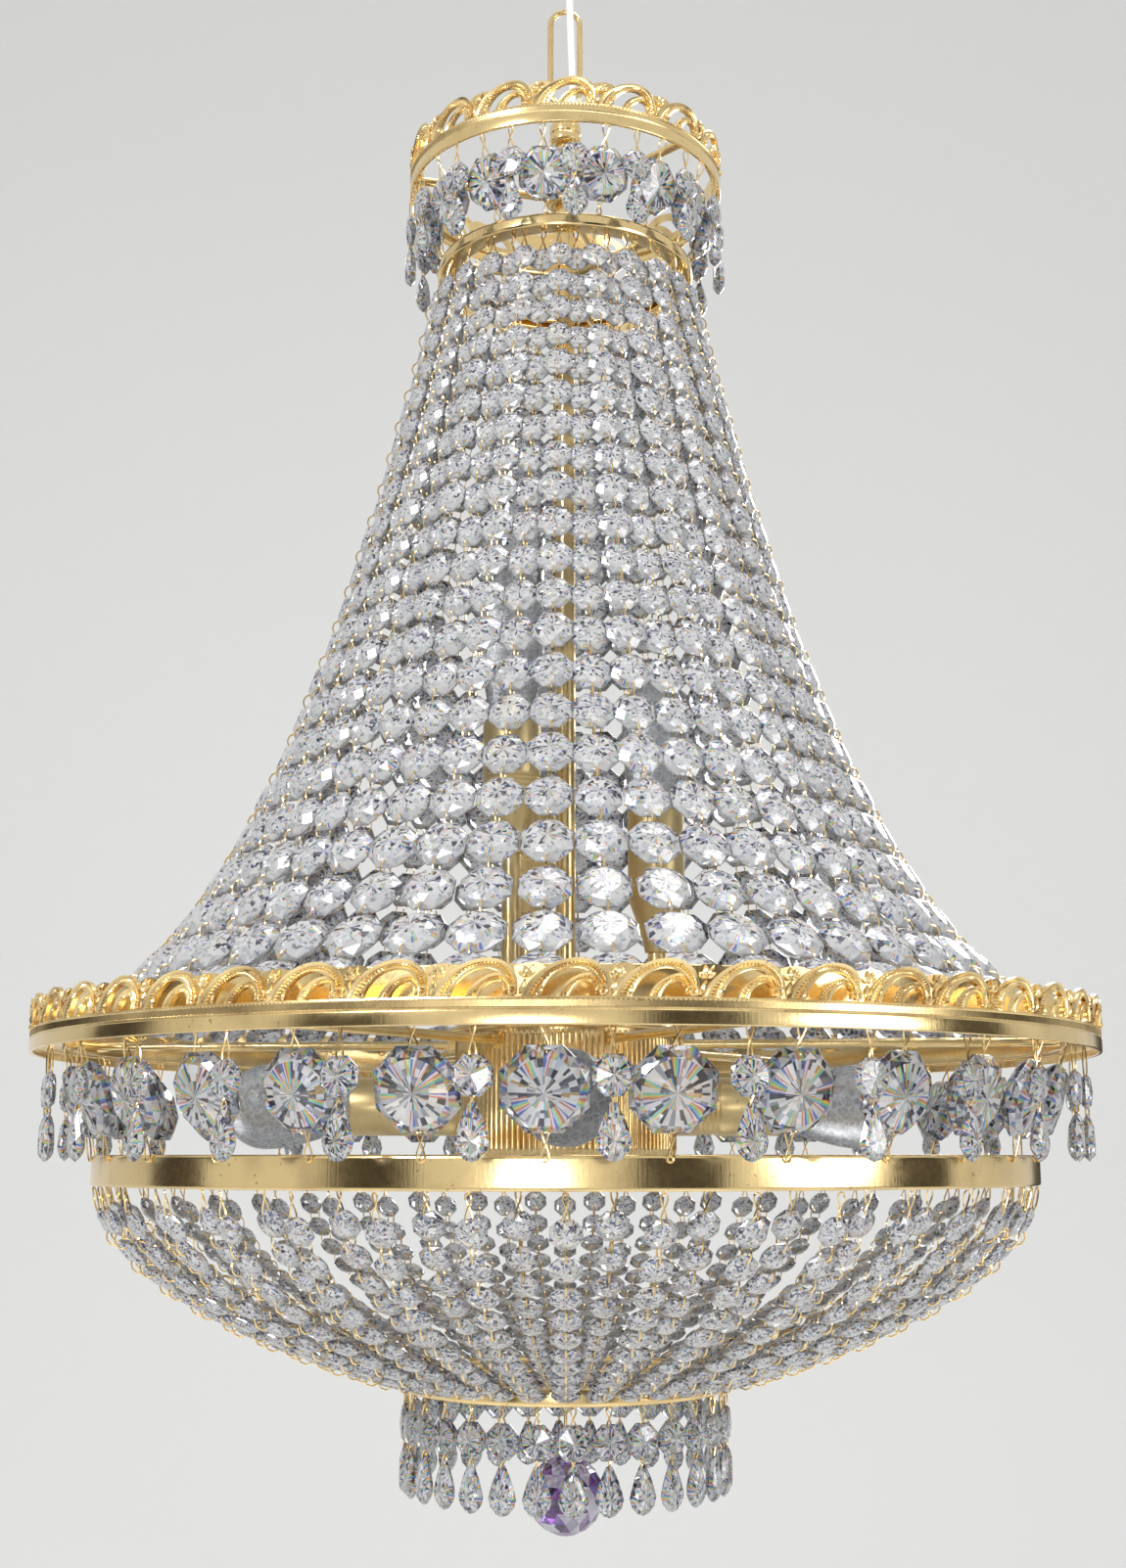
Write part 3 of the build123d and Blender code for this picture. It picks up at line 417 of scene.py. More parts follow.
# ------------------------------------------------------------------ hanging strands
class Strand:
    """A hanging line B(t) = (1-t)^2 P0 + 2 t (1-t) P1 + t^2 P2 in the plane (radius, height),
    read by its length, and the stones spread evenly along it."""

    STEPS = 2000

    def __init__(self, line, rows):
        p0, p1, p2 = (np.array(line[key]) for key in ("start", "pull", "end"))
        t = np.linspace(0, 1, self.STEPS + 1)[:, None]
        self.line = (1 - t) ** 2 * p0 + 2 * t * (1 - t) * p1 + t**2 * p2
        runs = np.linalg.norm(np.diff(self.line, axis=0), axis=1)
        self.run = np.append(0.0, np.cumsum(runs))
        self.count = line["count"]
        self.azimuths = around(line["count"], line["first"])
        self.widths = np.repeat(list(rows), list(rows.values()))
        slack = self.run[-1] - self.widths.sum() - line["first_hook"] - line["last_hook"]
        self.gap = slack / (len(self.widths) - 1)
        self.first_hook, self.last_hook = line["first_hook"], line["last_hook"]
        ends = self.first_hook + np.cumsum(self.widths + self.gap) - self.gap
        self.centres = ends - self.widths / 2
        needed = self.layer_shift(self.widths, tau * self.place(self.centres)[0] / self.count)
        self.shifts = np.maximum(needed, line.get("least_shift", 0.0))

    def place(self, distance):
        """Radius, height and outward lean in degrees at distances down the line."""
        point = [np.interp(distance, self.run, self.line[:, axis]) for axis in (0, 1)]
        along = np.gradient(self.line, self.run, axis=0)
        slope = [np.interp(distance, self.run, along[:, axis]) for axis in (0, 1)]
        return point[0], point[1], np.degrees(np.arctan2(slope[0], -slope[1]))

    @staticmethod
    def layer_shift(width, pitch, play=0.15):
        """Half the step between neighbouring strands, so that wide stones clear each other."""
        thickness = width * THICKNESS_SHARE
        bevel = width * (1 - TABLE_SHARE) / 2
        shared = width + 2 * play - pitch
        step = np.minimum(thickness / 2, thickness * shared / (4 * bevel)) + play
        return np.where(shared > 0, step, 0.0)

    def spots(self, distance, shift):
        """Axes and origins of things at distances down every strand, shifted in or out in turn."""
        radius, height, lean = self.place(distance)
        side = np.where(np.arange(self.count) % 2 == 0, 1.0, -1.0)[:, None]
        out = np.radians(lean)[None, :]
        azimuth = np.broadcast_to(self.azimuths[:, None], (self.count, len(radius)))
        origins = ring_points(azimuth, radius + side * shift * np.cos(out),
                              height + side * shift * np.sin(out))
        axes = ring_axes(azimuth, np.broadcast_to(lean, azimuth.shape))
        return axes.reshape(-1, 3, 3), origins.reshape(-1, 3)

    def stones(self, width):
        """Where the stones of one width lie."""
        rows = self.widths == width
        return self.spots(self.centres[rows], self.shifts[rows])

    def gaps(self):
        """Where the wire rings between two stones lie."""
        middle = self.centres[:-1] + self.widths[:-1] / 2 + self.gap / 2
        return self.spots(middle, (self.shifts[:-1] + self.shifts[1:]) / 2)


# ------------------------------------------------------------------- making objects
def put(name, surface, material, node, body=BODY, replaces=True, faceted=False, unit=MM):
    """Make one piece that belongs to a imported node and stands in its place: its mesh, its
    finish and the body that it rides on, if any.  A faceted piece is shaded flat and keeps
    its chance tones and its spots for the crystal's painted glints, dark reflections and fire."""
    mesh = bpy.data.meshes.new(name)
    mesh.vertices.add(len(surface.points))
    mesh.vertices.foreach_set("co", (surface.points * unit).astype(np.float32).ravel())
    mesh.loops.add(len(surface.corners))
    mesh.loops.foreach_set("vertex_index", surface.corners.astype(np.int32))
    mesh.polygons.add(len(surface.sizes))
    starts = np.append(0, np.cumsum(surface.sizes)[:-1])
    mesh.polygons.foreach_set("loop_start", starts.astype(np.int32))
    mesh.update(calc_edges=True)
    mesh.validate()
    if faceted:
        mesh.shade_flat()
        tones = mesh.attributes.new("cut", "FLOAT", "CORNER")
        tones.data.foreach_set("value", np.repeat(surface.tones, surface.sizes).astype(np.float32))
        spots = mesh.uv_layers.new(name="facets")
        spots.data.foreach_set("uv", surface.spots[surface.corners].astype(np.float32).ravel())
    else:
        mesh.shade_smooth()
        mesh.set_sharp_from_angle(angle=SHARP_EDGE)
    mesh.materials.append(material)
    piece = bpy.data.objects.new(name, mesh)
    bpy.context.scene.collection.objects.link(piece)
    if body:
        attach(piece, body)
    if replaces:
        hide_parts(node)
    return piece


# -------------------------------------------------------------------- shader maths
class Value:
    """A shader socket.  The operators add Math nodes, so a formula reads as it is written."""

    def __init__(self, shader, socket):
        self.shader = shader
        self.socket = socket

    def math(self, operation, *others):
        return self.shader.node("ShaderNodeMath", {"operation": operation}, self, *others)

    def __add__(self, other):
        return self.math("ADD", other)

    def __sub__(self, other):
        return self.math("SUBTRACT", other)

    def __mul__(self, other):
        return self.math("MULTIPLY", other)

    def __truediv__(self, other):
        return self.math("DIVIDE", other)

    def __pow__(self, other):
        return self.math("POWER", other)

    def __rsub__(self, other):
        return self.shader.node("ShaderNodeMath", {"operation": "SUBTRACT"}, other, self)

    def clamped(self):
        return self.shader.node("ShaderNodeClamp", {}, self)

    def above(self, edge, soft=0.05):
        """0 below the edge and 1 above it, over a soft step."""
        return ((self - edge) / soft + 0.5).clamped()


class Shader:
    """The nodes of a material or of the world."""

    def __init__(self, owner):
        owner.use_nodes = True
        self.owner = owner
        self.tree = owner.node_tree

    def node(self, kind, settings, *values, output=0, **named):
        """Add a node: its settings first, then the values or links of its sockets."""
        made = self.tree.nodes.new(kind)
        for key, value in settings.items():
            if key == "stops":
                self.set_stops(made.color_ramp, value)
            else:
                setattr(made, key, value)
        inputs = list(enumerate(values))
        inputs += [(key.replace("_", " "), value) for key, value in named.items()]
        for key, value in inputs:
            self.set(made.inputs[key], value)
        return Value(self, made.outputs[output])

    def set(self, socket, value):
        if isinstance(value, Value):
            self.tree.links.new(value.socket, socket)
        else:
            socket.default_value = value

    @staticmethod
    def set_stops(ramp, stops):
        while len(ramp.elements) < len(stops):
            ramp.elements.new(1.0)
        for element, (place, colour) in zip(ramp.elements, stops):
            element.position = place
            element.color = (*colour, 1.0)

    def place(self, scale=(1.0, 1.0, 1.0)):
        """Object coordinates, stretched by a scale."""
        where = self.node("ShaderNodeTexCoord", {}, output="Object")
        return self.node("ShaderNodeMapping", {}, where, Scale=scale)

    def noise(self, scale, detail=3.0, where=None):
        return self.node("ShaderNodeTexNoise", {}, Vector=where or self.place(), Scale=scale,
                         Detail=detail)

    def ramp(self, value, stops, interpolation="LINEAR"):
        made = self.node("ShaderNodeValToRGB", {"stops": stops}, value)
        made.socket.node.color_ramp.interpolation = interpolation
        return made

    def mix(self, factor, a, b):
        """Colour a where the factor is 0 and b where it is 1."""
        made = self.tree.nodes.new("ShaderNodeMix")
        made.data_type = "RGBA"
        for socket, value in ((made.inputs[0], factor), (made.inputs[6], a), (made.inputs[7], b)):
            if isinstance(value, tuple):
                value = (*value, 1.0)
            self.set(socket, value)
        return Value(self, made.outputs[2])

    def bump(self, height, strength, distance):
        return self.node("ShaderNodeBump", {}, Height=height, Strength=strength, Distance=distance)

    def finish(self, **sockets):
        """The material, with the sockets of its surface set or linked."""
        surface = self.tree.nodes["Principled BSDF"]
        for key, value in sockets.items():
            if isinstance(value, tuple) and len(value) == 3:
                value = (*value, 1.0)
            self.set(surface.inputs[key.replace("_", " ")], value)
        return self.owner


def new_material(name):
    return Shader(bpy.data.materials.new(name))


def once(make):
    """A material is made the first time that a piece asks for it."""
    made = {}

    def fetch(*args):
        if args not in made:
            made[args] = make(*args)
        return made[args]

    return fetch


@once
def gilt(kind):
    """Polished gilt brass with soft cloudy dulling, brown tarnish in chance patches and specks;
    "satin" is the lamps' duller gilt, "dark" the cast galleries' with more of the tarnish."""
    shader = new_material(f"gilt_{kind}")
    finish = bpy.context.scene.chandelier_finish
    clean = tuple(finish.satin_gilt if kind == "satin" else finish.gilt)
    rough = {"bright": 0.12, "satin": 0.30, "dark": 0.20}[kind]
    clouds = shader.noise(38.0, 4.0)
    specks = shader.noise(420.0, 2.0)
    tarnish = clouds.above(0.60, 0.25) * (0.55 if kind == "dark" else 0.30)
    colour = shader.mix(tarnish, clean, tuple(finish.tarnish))
    spots = specks.above(0.70, 0.06) * 0.5
    colour = shader.mix(spots, colour, tuple(finish.tarnish))
    scratches = shader.noise(900.0, 2.0, shader.place((1.0, 1.0, 0.08)))
    return shader.finish(
        Base_Color=colour,
        Metallic=1.0,
        Roughness=(clouds * 0.16 + specks * 0.10 + rough - 0.08).clamped(),
        Normal=shader.bump(scratches * 0.4 + clouds, 0.12, 0.0004),
    )


# Facet colours by chance: white and clear painted glints first, then grey and black painted dark
# reflections, and painted fire.
PAINTED_FACET_LIGHT = {
    "strung": [
        (0.00, (1.0, 1.0, 1.0)), (0.14, (0.72, 0.76, 0.82)), (0.20, (1.0, 1.0, 1.0)),
        (0.34, (0.42, 0.44, 0.49)), (0.40, (0.96, 0.97, 1.0)), (0.47, (0.03, 0.03, 0.05)),
        (0.58, (0.44, 0.40, 0.72)), (0.62, (0.97, 0.98, 1.0)), (0.70, (0.72, 0.48, 0.16)),
        (0.74, (0.05, 0.04, 0.10)), (0.82, (0.26, 0.50, 0.80)), (0.85, (0.20, 0.19, 0.22)),
        (0.91, (1.0, 1.0, 1.0)),
    ],
    "large": [
        (0.00, (1.0, 1.0, 1.0)), (0.20, (0.40, 0.43, 0.50)), (0.30, (0.95, 0.96, 1.0)),
        (0.42, (0.04, 0.04, 0.07)), (0.54, (0.74, 0.80, 0.92)), (0.64, (0.015, 0.015, 0.03)),
        (0.74, (0.22, 0.23, 0.32)), (0.80, (0.98, 0.98, 1.0)), (0.88, (0.62, 0.42, 0.16)),
        (0.93, (0.02, 0.02, 0.05)),
    ],
    "ball": [
        (0.00, (0.95, 0.96, 1.0)), (0.18, (0.20, 0.05, 0.30)), (0.34, (0.05, 0.02, 0.08)),
        (0.46, (0.90, 0.92, 0.98)), (0.60, (0.16, 0.05, 0.26)), (0.70, (0.50, 0.52, 0.60)),
        (0.80, (0.03, 0.02, 0.06)), (0.90, (0.98, 0.97, 1.0)),
    ],
}
# Painted fire: the rainbow of the light that a facet breaks up, painted into its colour.
RAINBOW = [
    (0.00, (0.22, 0.10, 0.55)), (0.18, (0.10, 0.28, 0.85)), (0.32, (0.25, 0.80, 0.85)),
    (0.45, (0.30, 0.75, 0.25)), (0.56, (0.98, 0.86, 0.20)), (0.68, (0.95, 0.45, 0.12)),
    (0.78, (0.80, 0.12, 0.20)), (0.88, (0.98, 0.96, 0.98)),
]
# wedges round a stone, rings across it, share of chance at its middle, its rise upwards, which
# leaves mostly white painted glints at the stone's foot as a painted highlight, and the share of
# the wedges that show a painted rainbow
CUTS = {
    "strung": (16, 2.6, 0.71, 0.46, 0.07),
    "large": (16, 2.6, 0.95, 0.20, 0.32),
    "ball": (16, 3.0, 1.0, 0.0, 0.1),
}


@once
def crystal(kind):
    """Cut crystal, its glints, dark reflections and fire painted into its colour.  A stone's face
    is parted into wedges w = n angle / 2 pi and rings, as its back cuts show through it, each with
    a
    chance colour: white and clear painted glints, smoky grey and black painted dark reflections,
    violet and amber painted fire.  Some wedges show a painted rainbow of the light that they break
    up.  Chances are smaller towards the stone's foot, and so its colours there are mostly the white
    of painted glints: a painted highlight."""
    shader = new_material(f"crystal_{kind}")
    wedges, rings, middle, painted_glint_fade, rainbows = CUTS[kind]
    tone = shader.node("ShaderNodeAttribute", {"attribute_name": "cut"}, output="Fac")
    where = shader.node("ShaderNodeUVMap", {"uv_map": "facets"})
    x = shader.node("ShaderNodeSeparateXYZ", {}, where, output="X")
    y = shader.node("ShaderNodeSeparateXYZ", {}, where, output="Y")
    reach = (x * x + y * y) ** 0.5
    wedge = y.math("ARCTAN2", x) * (wedges / tau)

    def chance(fineness, shift):
        ring = (reach * (rings * fineness)).math("FLOOR")
        cell = (wedge * fineness + ring * 0.5).math("FLOOR")
        key = shader.node("ShaderNodeCombineXYZ", {}, cell, ring, tone * 50 + shift)
        return shader.node("ShaderNodeTexWhiteNoise", {"noise_dimensions": "3D"}, key,
                           output="Value")

    fine = chance(2.0, 3.0)
    # Painted highlight: the chance shrinks towards the stone's foot, so that its facets there take
    # mostly the white painted glints at the ramp's start.
    place = (chance(1.0, 0.0) + fine * 0.2).math("FRACT") * (y * painted_glint_fade + middle).clamped()
    colour = shader.ramp(place, PAINTED_FACET_LIGHT[kind], "CONSTANT")
    hue = (wedge.math("FRACT") * 0.9 + reach * 0.35 + fine * 0.08).math("FRACT")
    broken = 1 - chance(1.0, 9.0).above(rainbows, 0.01)
    colour = shader.mix(broken * 0.95, colour, shader.ramp(hue, RAINBOW))
    return shader.finish(
        Base_Color=colour,
        Roughness=(fine * 0.05).clamped(),
        Transmission_Weight=0.6,
        IOR=1.6,
        Specular_IOR_Level=0.8,
    )


@once
def lamp_glass():
    """The bulbs' icy crackled glass: cells of clear glass between frosted seams."""
    shader = new_material("lamp_glass")
    finish = bpy.context.scene.chandelier_finish
    cells = shader.node("ShaderNodeTexVoronoi", {"feature": "DISTANCE_TO_EDGE"},
                        Vector=shader.place(), Scale=230.0)
    frost = shader.noise(320.0, 4.0)
    seam = 1 - cells.above(0.10, 0.12)
    colour = shader.mix(seam, tuple(finish.lamp_glass), (0.96, 0.97, 1.0))
    colour = shader.mix(frost.above(0.62, 0.10) * 0.6, colour, (0.30, 0.31, 0.33))
    return shader.finish(
        Base_Color=colour,
        Roughness=(frost * 0.30 + seam * 0.25).clamped(),
        Transmission_Weight=0.62,
        IOR=1.45,
        Normal=shader.bump(cells + frost, 0.55, 0.0006),
    )


@once
def steel_cap():
    """The bulbs' screw caps, tinned steel."""
    shader = new_material("steel_cap")
    clouds = shader.noise(300.0)
    return shader.finish(Base_Color=(0.72, 0.72, 0.70), Metallic=1.0, Roughness=clouds * 0.3 + 0.2)


@once
def flex_sheath():
    """The supply flex: milky clear insulation, a little uneven."""
    shader = new_material("flex_sheath")
    clouds = shader.noise(500.0, 2.0)
    colour = shader.mix(clouds.above(0.5, 0.4), (0.74, 0.75, 0.73), (0.84, 0.84, 0.82))
    return shader.finish(Base_Color=colour, Roughness=clouds * 0.2 + 0.22, Coat_Weight=0.3)


@once
def terminal_plastic():
    """The terminal block's white plastic."""
    shader = new_material("terminal_plastic")
    clouds = shader.noise(700.0, 2.0)
    colour = shader.mix(clouds, (0.86, 0.86, 0.84), (0.93, 0.93, 0.91))
    return shader.finish(Base_Color=colour, Roughness=clouds * 0.2 + 0.4)


@once
def studio(kind, colour):
    """A plain matt finish for the floor, the backdrop and the dark cards."""
    return new_material(f"studio_{kind}").finish(Base_Color=colour, Roughness=0.9)


# --------------------------------------------------------------------- user values
class ChandelierSizes(bpy.types.PropertyGroup):
    """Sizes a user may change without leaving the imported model's shape."""

    camera_distance: FloatProperty(
        name="Camera distance", description="From the column to the camera",
        default=1.0433, min=0.5, unit="LENGTH")
    camera_height: FloatProperty(
        name="Camera height", description="Below the hanging point",
        default=-0.6769, unit="LENGTH")
    camera_side: FloatProperty(
        name="Camera side step", description="Towards -X from the column",
        default=-0.0013, unit="LENGTH")
    camera_pitch: FloatProperty(
        name="Camera pitch", description="How far the camera looks up",
        default=radians(11.06), subtype="ANGLE")
    camera_lens: FloatProperty(
        name="Lens", description="Focal length for a 36 mm long side",
        default=43.88, min=10.0, unit="CAMERA")
    wire: FloatProperty(
        name="Stone wire", description="Diameter of the wire between two stones, in millimetres",
        default=0.9, min=0.3)
    lathe_steps: IntProperty(
        name="Ring steps", description="Flat steps round the main ring",
        default=288, min=48)
    floor_height: FloatProperty(
        name="Floor", description="Height of the studio floor",
        default=-1.9, unit="LENGTH")


class ChandelierFinish(bpy.types.PropertyGroup):
    """Colours of the metal, the glass and the studio."""

    gilt: FloatVectorProperty(
        name="Gilt", description="Polished gilt brass", subtype="COLOR",
        default=(0.93, 0.71, 0.35))
    satin_gilt: FloatVectorProperty(
        name="Satin gilt", description="The lamps' duller gilt", subtype="COLOR",
        default=(0.78, 0.62, 0.32))
    tarnish: FloatVectorProperty(
        name="Tarnish", description="Brown in the hollows of the metal", subtype="COLOR",
        default=(0.22, 0.10, 0.035))
    lamp_glass: FloatVectorProperty(
        name="Lamp glass", description="The bulbs' icy glass", subtype="COLOR",
        default=(0.70, 0.72, 0.75))
    backdrop: FloatVectorProperty(
        name="Backdrop", description="Studio backdrop and floor", subtype="COLOR",
        default=(0.84, 0.84, 0.83))


# ----------------------------------------------------------------------- operators
class ChandelierOperator:
    """Common to the operators: the sizes and the undo step."""

    bl_options = {"REGISTER", "UNDO"}

    @property
    def sizes(self):
        return bpy.context.scene.chandelier_sizes


class StageOperator(ChandelierOperator, bpy.types.Operator):
    """Set up the camera, the lights, the floor and the backdrop"""

    bl_idname = "chandelier.stage"
    bl_label = "Studio"

    AIM = (0.0, 0.0, -0.45)
    LAMPS = {                 # place, width and watts
        "key": ((-1.2, -1.7, 0.4), 0.6, 28.0),
        "fill": ((1.8, -1.2, -0.5), 1.0, 13.0),
        "top": ((0.3, -0.2, 1.2), 1.0, 13.0),
        "rim": ((0.9, 1.9, 0.2), 1.0, 20.0),
        "low": ((-0.22, -1.9, -0.74), 0.42, 5.0),
    }
    FLOOR = {"front": -6.0, "back": 3.6, "half": 9.0, "bend": 1.2, "wall": 3.2}
    CARD = {"distance": 2.4, "half": 0.42, "low": -1.25, "top": 0.15}
    CARD_AZIMUTHS = (24.0, -42.0, 84.0, -96.0, 150.0)
    CARD_COLOUR = (0.02, 0.016, 0.012)
    SKY = [(0.0, (0.42, 0.41, 0.40)), (0.5, (0.80, 0.80, 0.80)), (1.0, (1.0, 1.0, 1.0))]
    SKY_STRENGTH = 0.82

    def execute(self, context):
        self.camera(context)
        self.floor(context)
        self.lights(context)
        self.cards()
        self.world(context)
        return {"FINISHED"}

    def camera(self, context):
        sizes = self.sizes
        data = bpy.data.cameras.new("camera")
        data.sensor_width = 36.0
        data.lens = sizes.camera_lens
        camera = bpy.data.objects.new("camera", data)
        camera.location = (sizes.camera_side, -sizes.camera_distance, sizes.camera_height)
        camera.rotation_euler = (pi / 2 + sizes.camera_pitch, 0.0, 0.0)
        context.scene.collection.objects.link(camera)
        context.scene.camera = camera

    @staticmethod
    def staged(name, points, faces, material):
        """A surface that belongs to the studio."""
        mesh = bpy.data.meshes.new(name)
        mesh.from_pydata(points, [], faces)
        mesh.materials.append(material)
        made = bpy.data.objects.new(name, mesh)
        bpy.context.scene.collection.objects.link(made)
        return made

    def floor(self, context):
        """A floor that rolls up into a wall behind: a quarter circle joins the two."""
        low, bend, back = self.sizes.floor_height, self.FLOOR["bend"], self.FLOOR["back"]
        top = low + bend + self.FLOOR["wall"]
        turn = np.linspace(0, pi / 2, 17)
        y = np.concatenate([[self.FLOOR["front"]], back - bend + bend * np.sin(turn), [back]])
        z = np.concatenate([[low], low + bend - bend * np.cos(turn), [top]])
        points = np.stack([np.stack([np.full(len(y), side * self.FLOOR["half"]), y, z], 1)
                           for side in (1, -1)])
        colour = tuple(context.scene.chandelier_finish.backdrop)
        faces = grid_surface(points).corners.reshape(-1, 4)
        backdrop = self.staged("backdrop", points.reshape(-1, 3), faces, studio("backdrop", colour))
        backdrop.data.shade_smooth()

    def lights(self, context):
        for name, (spot, width, power) in self.LAMPS.items():
            data = bpy.data.lights.new(name, "AREA")
            data.shape = "DISK"
            data.size = width
            data.energy = power
            lamp = bpy.data.objects.new(name, data)
            lamp.location = spot
            aim = np.array(self.AIM) - np.array(spot)
            lamp.rotation_euler = (np.arccos(-aim[2] / np.linalg.norm(aim)), 0.0,
                                   np.arctan2(aim[1], aim[0]) - pi / 2)
            lamp.visible_camera = False
            context.scene.collection.objects.link(lamp)
        scene = context.scene
        scene.view_settings.view_transform = "Standard"
        scene.cycles.use_denoising = True
        scene.cycles.max_bounces = 14
        scene.cycles.transmission_bounces = 10
        scene.cycles.glossy_bounces = 5
        scene.cycles.diffuse_bounces = 2
        scene.cycles.sample_clamp_indirect = 6.0
        scene.cycles.caustics_refractive = False
        scene.cycles.caustics_reflective = False

    def cards(self):
        """Dark cards round the camera that only reflections show, for dark bands in the metal."""
        half, low, top = self.CARD["half"], self.CARD["low"], self.CARD["top"]
        near = -self.CARD["distance"]
        corners = [(-half, near, low), (half, near, low), (half, near, top), (-half, near, top)]
        for number, azimuth in enumerate(self.CARD_AZIMUTHS):
            card = self.staged(f"flag_{number}", corners, [(0, 3, 2, 1)],
                               studio("flag", self.CARD_COLOUR))
            card.rotation_euler = (0.0, 0.0, radians(azimuth))
            card.visible_camera = card.visible_diffuse = card.visible_shadow = False
            card.visible_transmission = False

    def world(self, context):
        """A pale room to the camera, to metal and through glass; all else is lit by a soft sky,
        brighter above than below."""
        world = bpy.data.worlds.new("studio")
        context.scene.world = world
        shader = Shader(world)
        where = shader.node("ShaderNodeTexCoord", {}, output="Generated")
        height = shader.node("ShaderNodeSeparateXYZ", {}, where, output="Z")
        sky = shader.ramp(height * 0.5 + 0.5, self.SKY)
        camera, glossy, through = (
            shader.node("ShaderNodeLightPath", {}, output=ray)
            for ray in ("Is Camera Ray", "Is Glossy Ray", "Is Transmission Ray"))
        colour = shader.mix((camera + glossy + through).clamped(), sky,
                            tuple(context.scene.chandelier_finish.backdrop))
        background = shader.tree.nodes["Background"]
        shader.set(background.inputs["Color"], colour)
        shader.set(background.inputs["Strength"], self.SKY_STRENGTH)


class ColumnOperator(ChandelierOperator, bpy.types.Operator):
    """Make the chain link, the hanging loop, the collar and the column"""

    bl_idname = "chandelier.column"
    bl_label = "Link and column"

    COLLAR_OUTLINE = (
        (0.5, 0.0), (8.0, 0.0), (9.25, 1.2), (9.25, 4.6), (8.7, 5.2),
        (8.7, 5.9), (9.25, 6.5), (9.25, 11.6), (8.0, 13.0), (0.5, 13.0),
    )
    PIPE_WALL = 1.5
    PIPE_END = 8.0            # below the hub
    WELD = {"height": -24.0, "length": 1.4, "bulge": 0.25}

    def execute(self, context):
        self.link()
        self.loop()
        top = COLLAR["top"] - COLLAR["height"]
        collar = np.array(self.COLLAR_OUTLINE) + (0.0, top)
        put("collar", lathe(rounded(collar, 0.5), 64), gilt("bright"), "column_collar")
        low = HUB["top"] - HUB["height"] - self.PIPE_END
        inner = COLUMN_RADIUS - self.PIPE_WALL
        pipe = [(COLUMN_RADIUS, low), (COLUMN_RADIUS, top), (inner, top), (inner, low)]
        put("column", lathe(rounded(pipe, 0.4), 48), gilt("bright"), "column_tube")
        return {"FINISHED"}

    def link(self):
        """Two straight legs joined by half circles, with a low weld bulge on the right leg."""
        wire, half = LINK["wire"], (LINK["width"] - LINK["wire"]) / 2
        top = wire / 2
        centres = (top - half, top - LINK["length"] + wire + half)
        turn = np.linspace(0, pi, 25)
        upper = np.stack([half * np.cos(turn), 0 * turn, centres[0] + half * np.sin(turn)], 1)
        leg = np.linspace(centres[0], centres[1], 26)[1:-1]
        left = np.stack([np.full(24, -half), 0 * leg, leg], 1)
        lower = np.stack([-half * np.cos(turn), 0 * turn, centres[1] - half * np.sin(turn)], 1)
        right = np.stack([np.full(24, half), 0 * leg, leg[::-1]], 1)
        path = np.concatenate([upper, left, lower, right])
        near_weld = np.exp(-((path[:, 2] - self.WELD["height"]) / self.WELD["length"]) ** 2)
        radius = wire / 2 + near_weld * (path[:, 0] > 0) * self.WELD["bulge"]
        put("link", tube(path, radius, 16, (0, 1, 0), closed=True), gilt("bright"), "chain_link",
            body="hanger")

    def loop(self):
        ring = hoop(LOOP["radius"], LOOP["wire"], "yz", LOOP["centre"], 48, 16)
        low = COLLAR["top"]
        stem = spindle([(4.0, low - 2.0), (4.0, low + 0.6), (3.4, low + 1.6), (2.6, low + 2.2)], 32)
        put("hanging_eye", joined([ring, stem]), gilt("bright"), "hanging_loop")


class FlexOperator(ChandelierOperator, bpy.types.Operator):
    """Make the supply flex that runs up beside the chain link to its terminal block"""

    bl_idname = "chandelier.flex"
    bl_label = "Supply flex"

    # The route's points, listed from the collar up past the front of the link.
    ROUTE = (
        (0.0045, -0.0045, -0.07475),
        (0.0045, -0.0045, -0.048),
        (0.0033, -0.0047, -0.018),
        (0.0026, -0.0046, 0.01125),
    )
    DIAMETER = 0.0044
    LENGTH = 0.0861

    def execute(self, context):
        path = self.smooth_line()
        sheath = tube(path, self.DIAMETER / 2, 20, (1, 0, 0))
        flex = put("flex", sheath, flex_sheath(), "supply_flex", body=None, unit=1.0)
        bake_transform(flex)
        return {"FINISHED"}

    def smooth_line(self):
        """Points read from the NURBS spline that has the route's points as control points."""
        data = bpy.data.curves.new("flex_route", "CURVE")
        data.dimensions = "3D"
        data.resolution_u = 16
        spline = data.splines.new("NURBS")
        spline.points.add(len(self.ROUTE) - 1)
        for point, spot in zip(spline.points, self.ROUTE):
            point.co = (*spot, 1.0)
        spline.order_u = 3
        spline.use_endpoint_u = True
        route = bpy.data.objects.new("flex_route", data)
        mesh = bpy.data.meshes.new_from_object(route)
        path = np.array([vertex.co for vertex in mesh.vertices])
        bpy.data.meshes.remove(mesh)
        bpy.data.objects.remove(route)
        bpy.data.curves.remove(data)
        return path


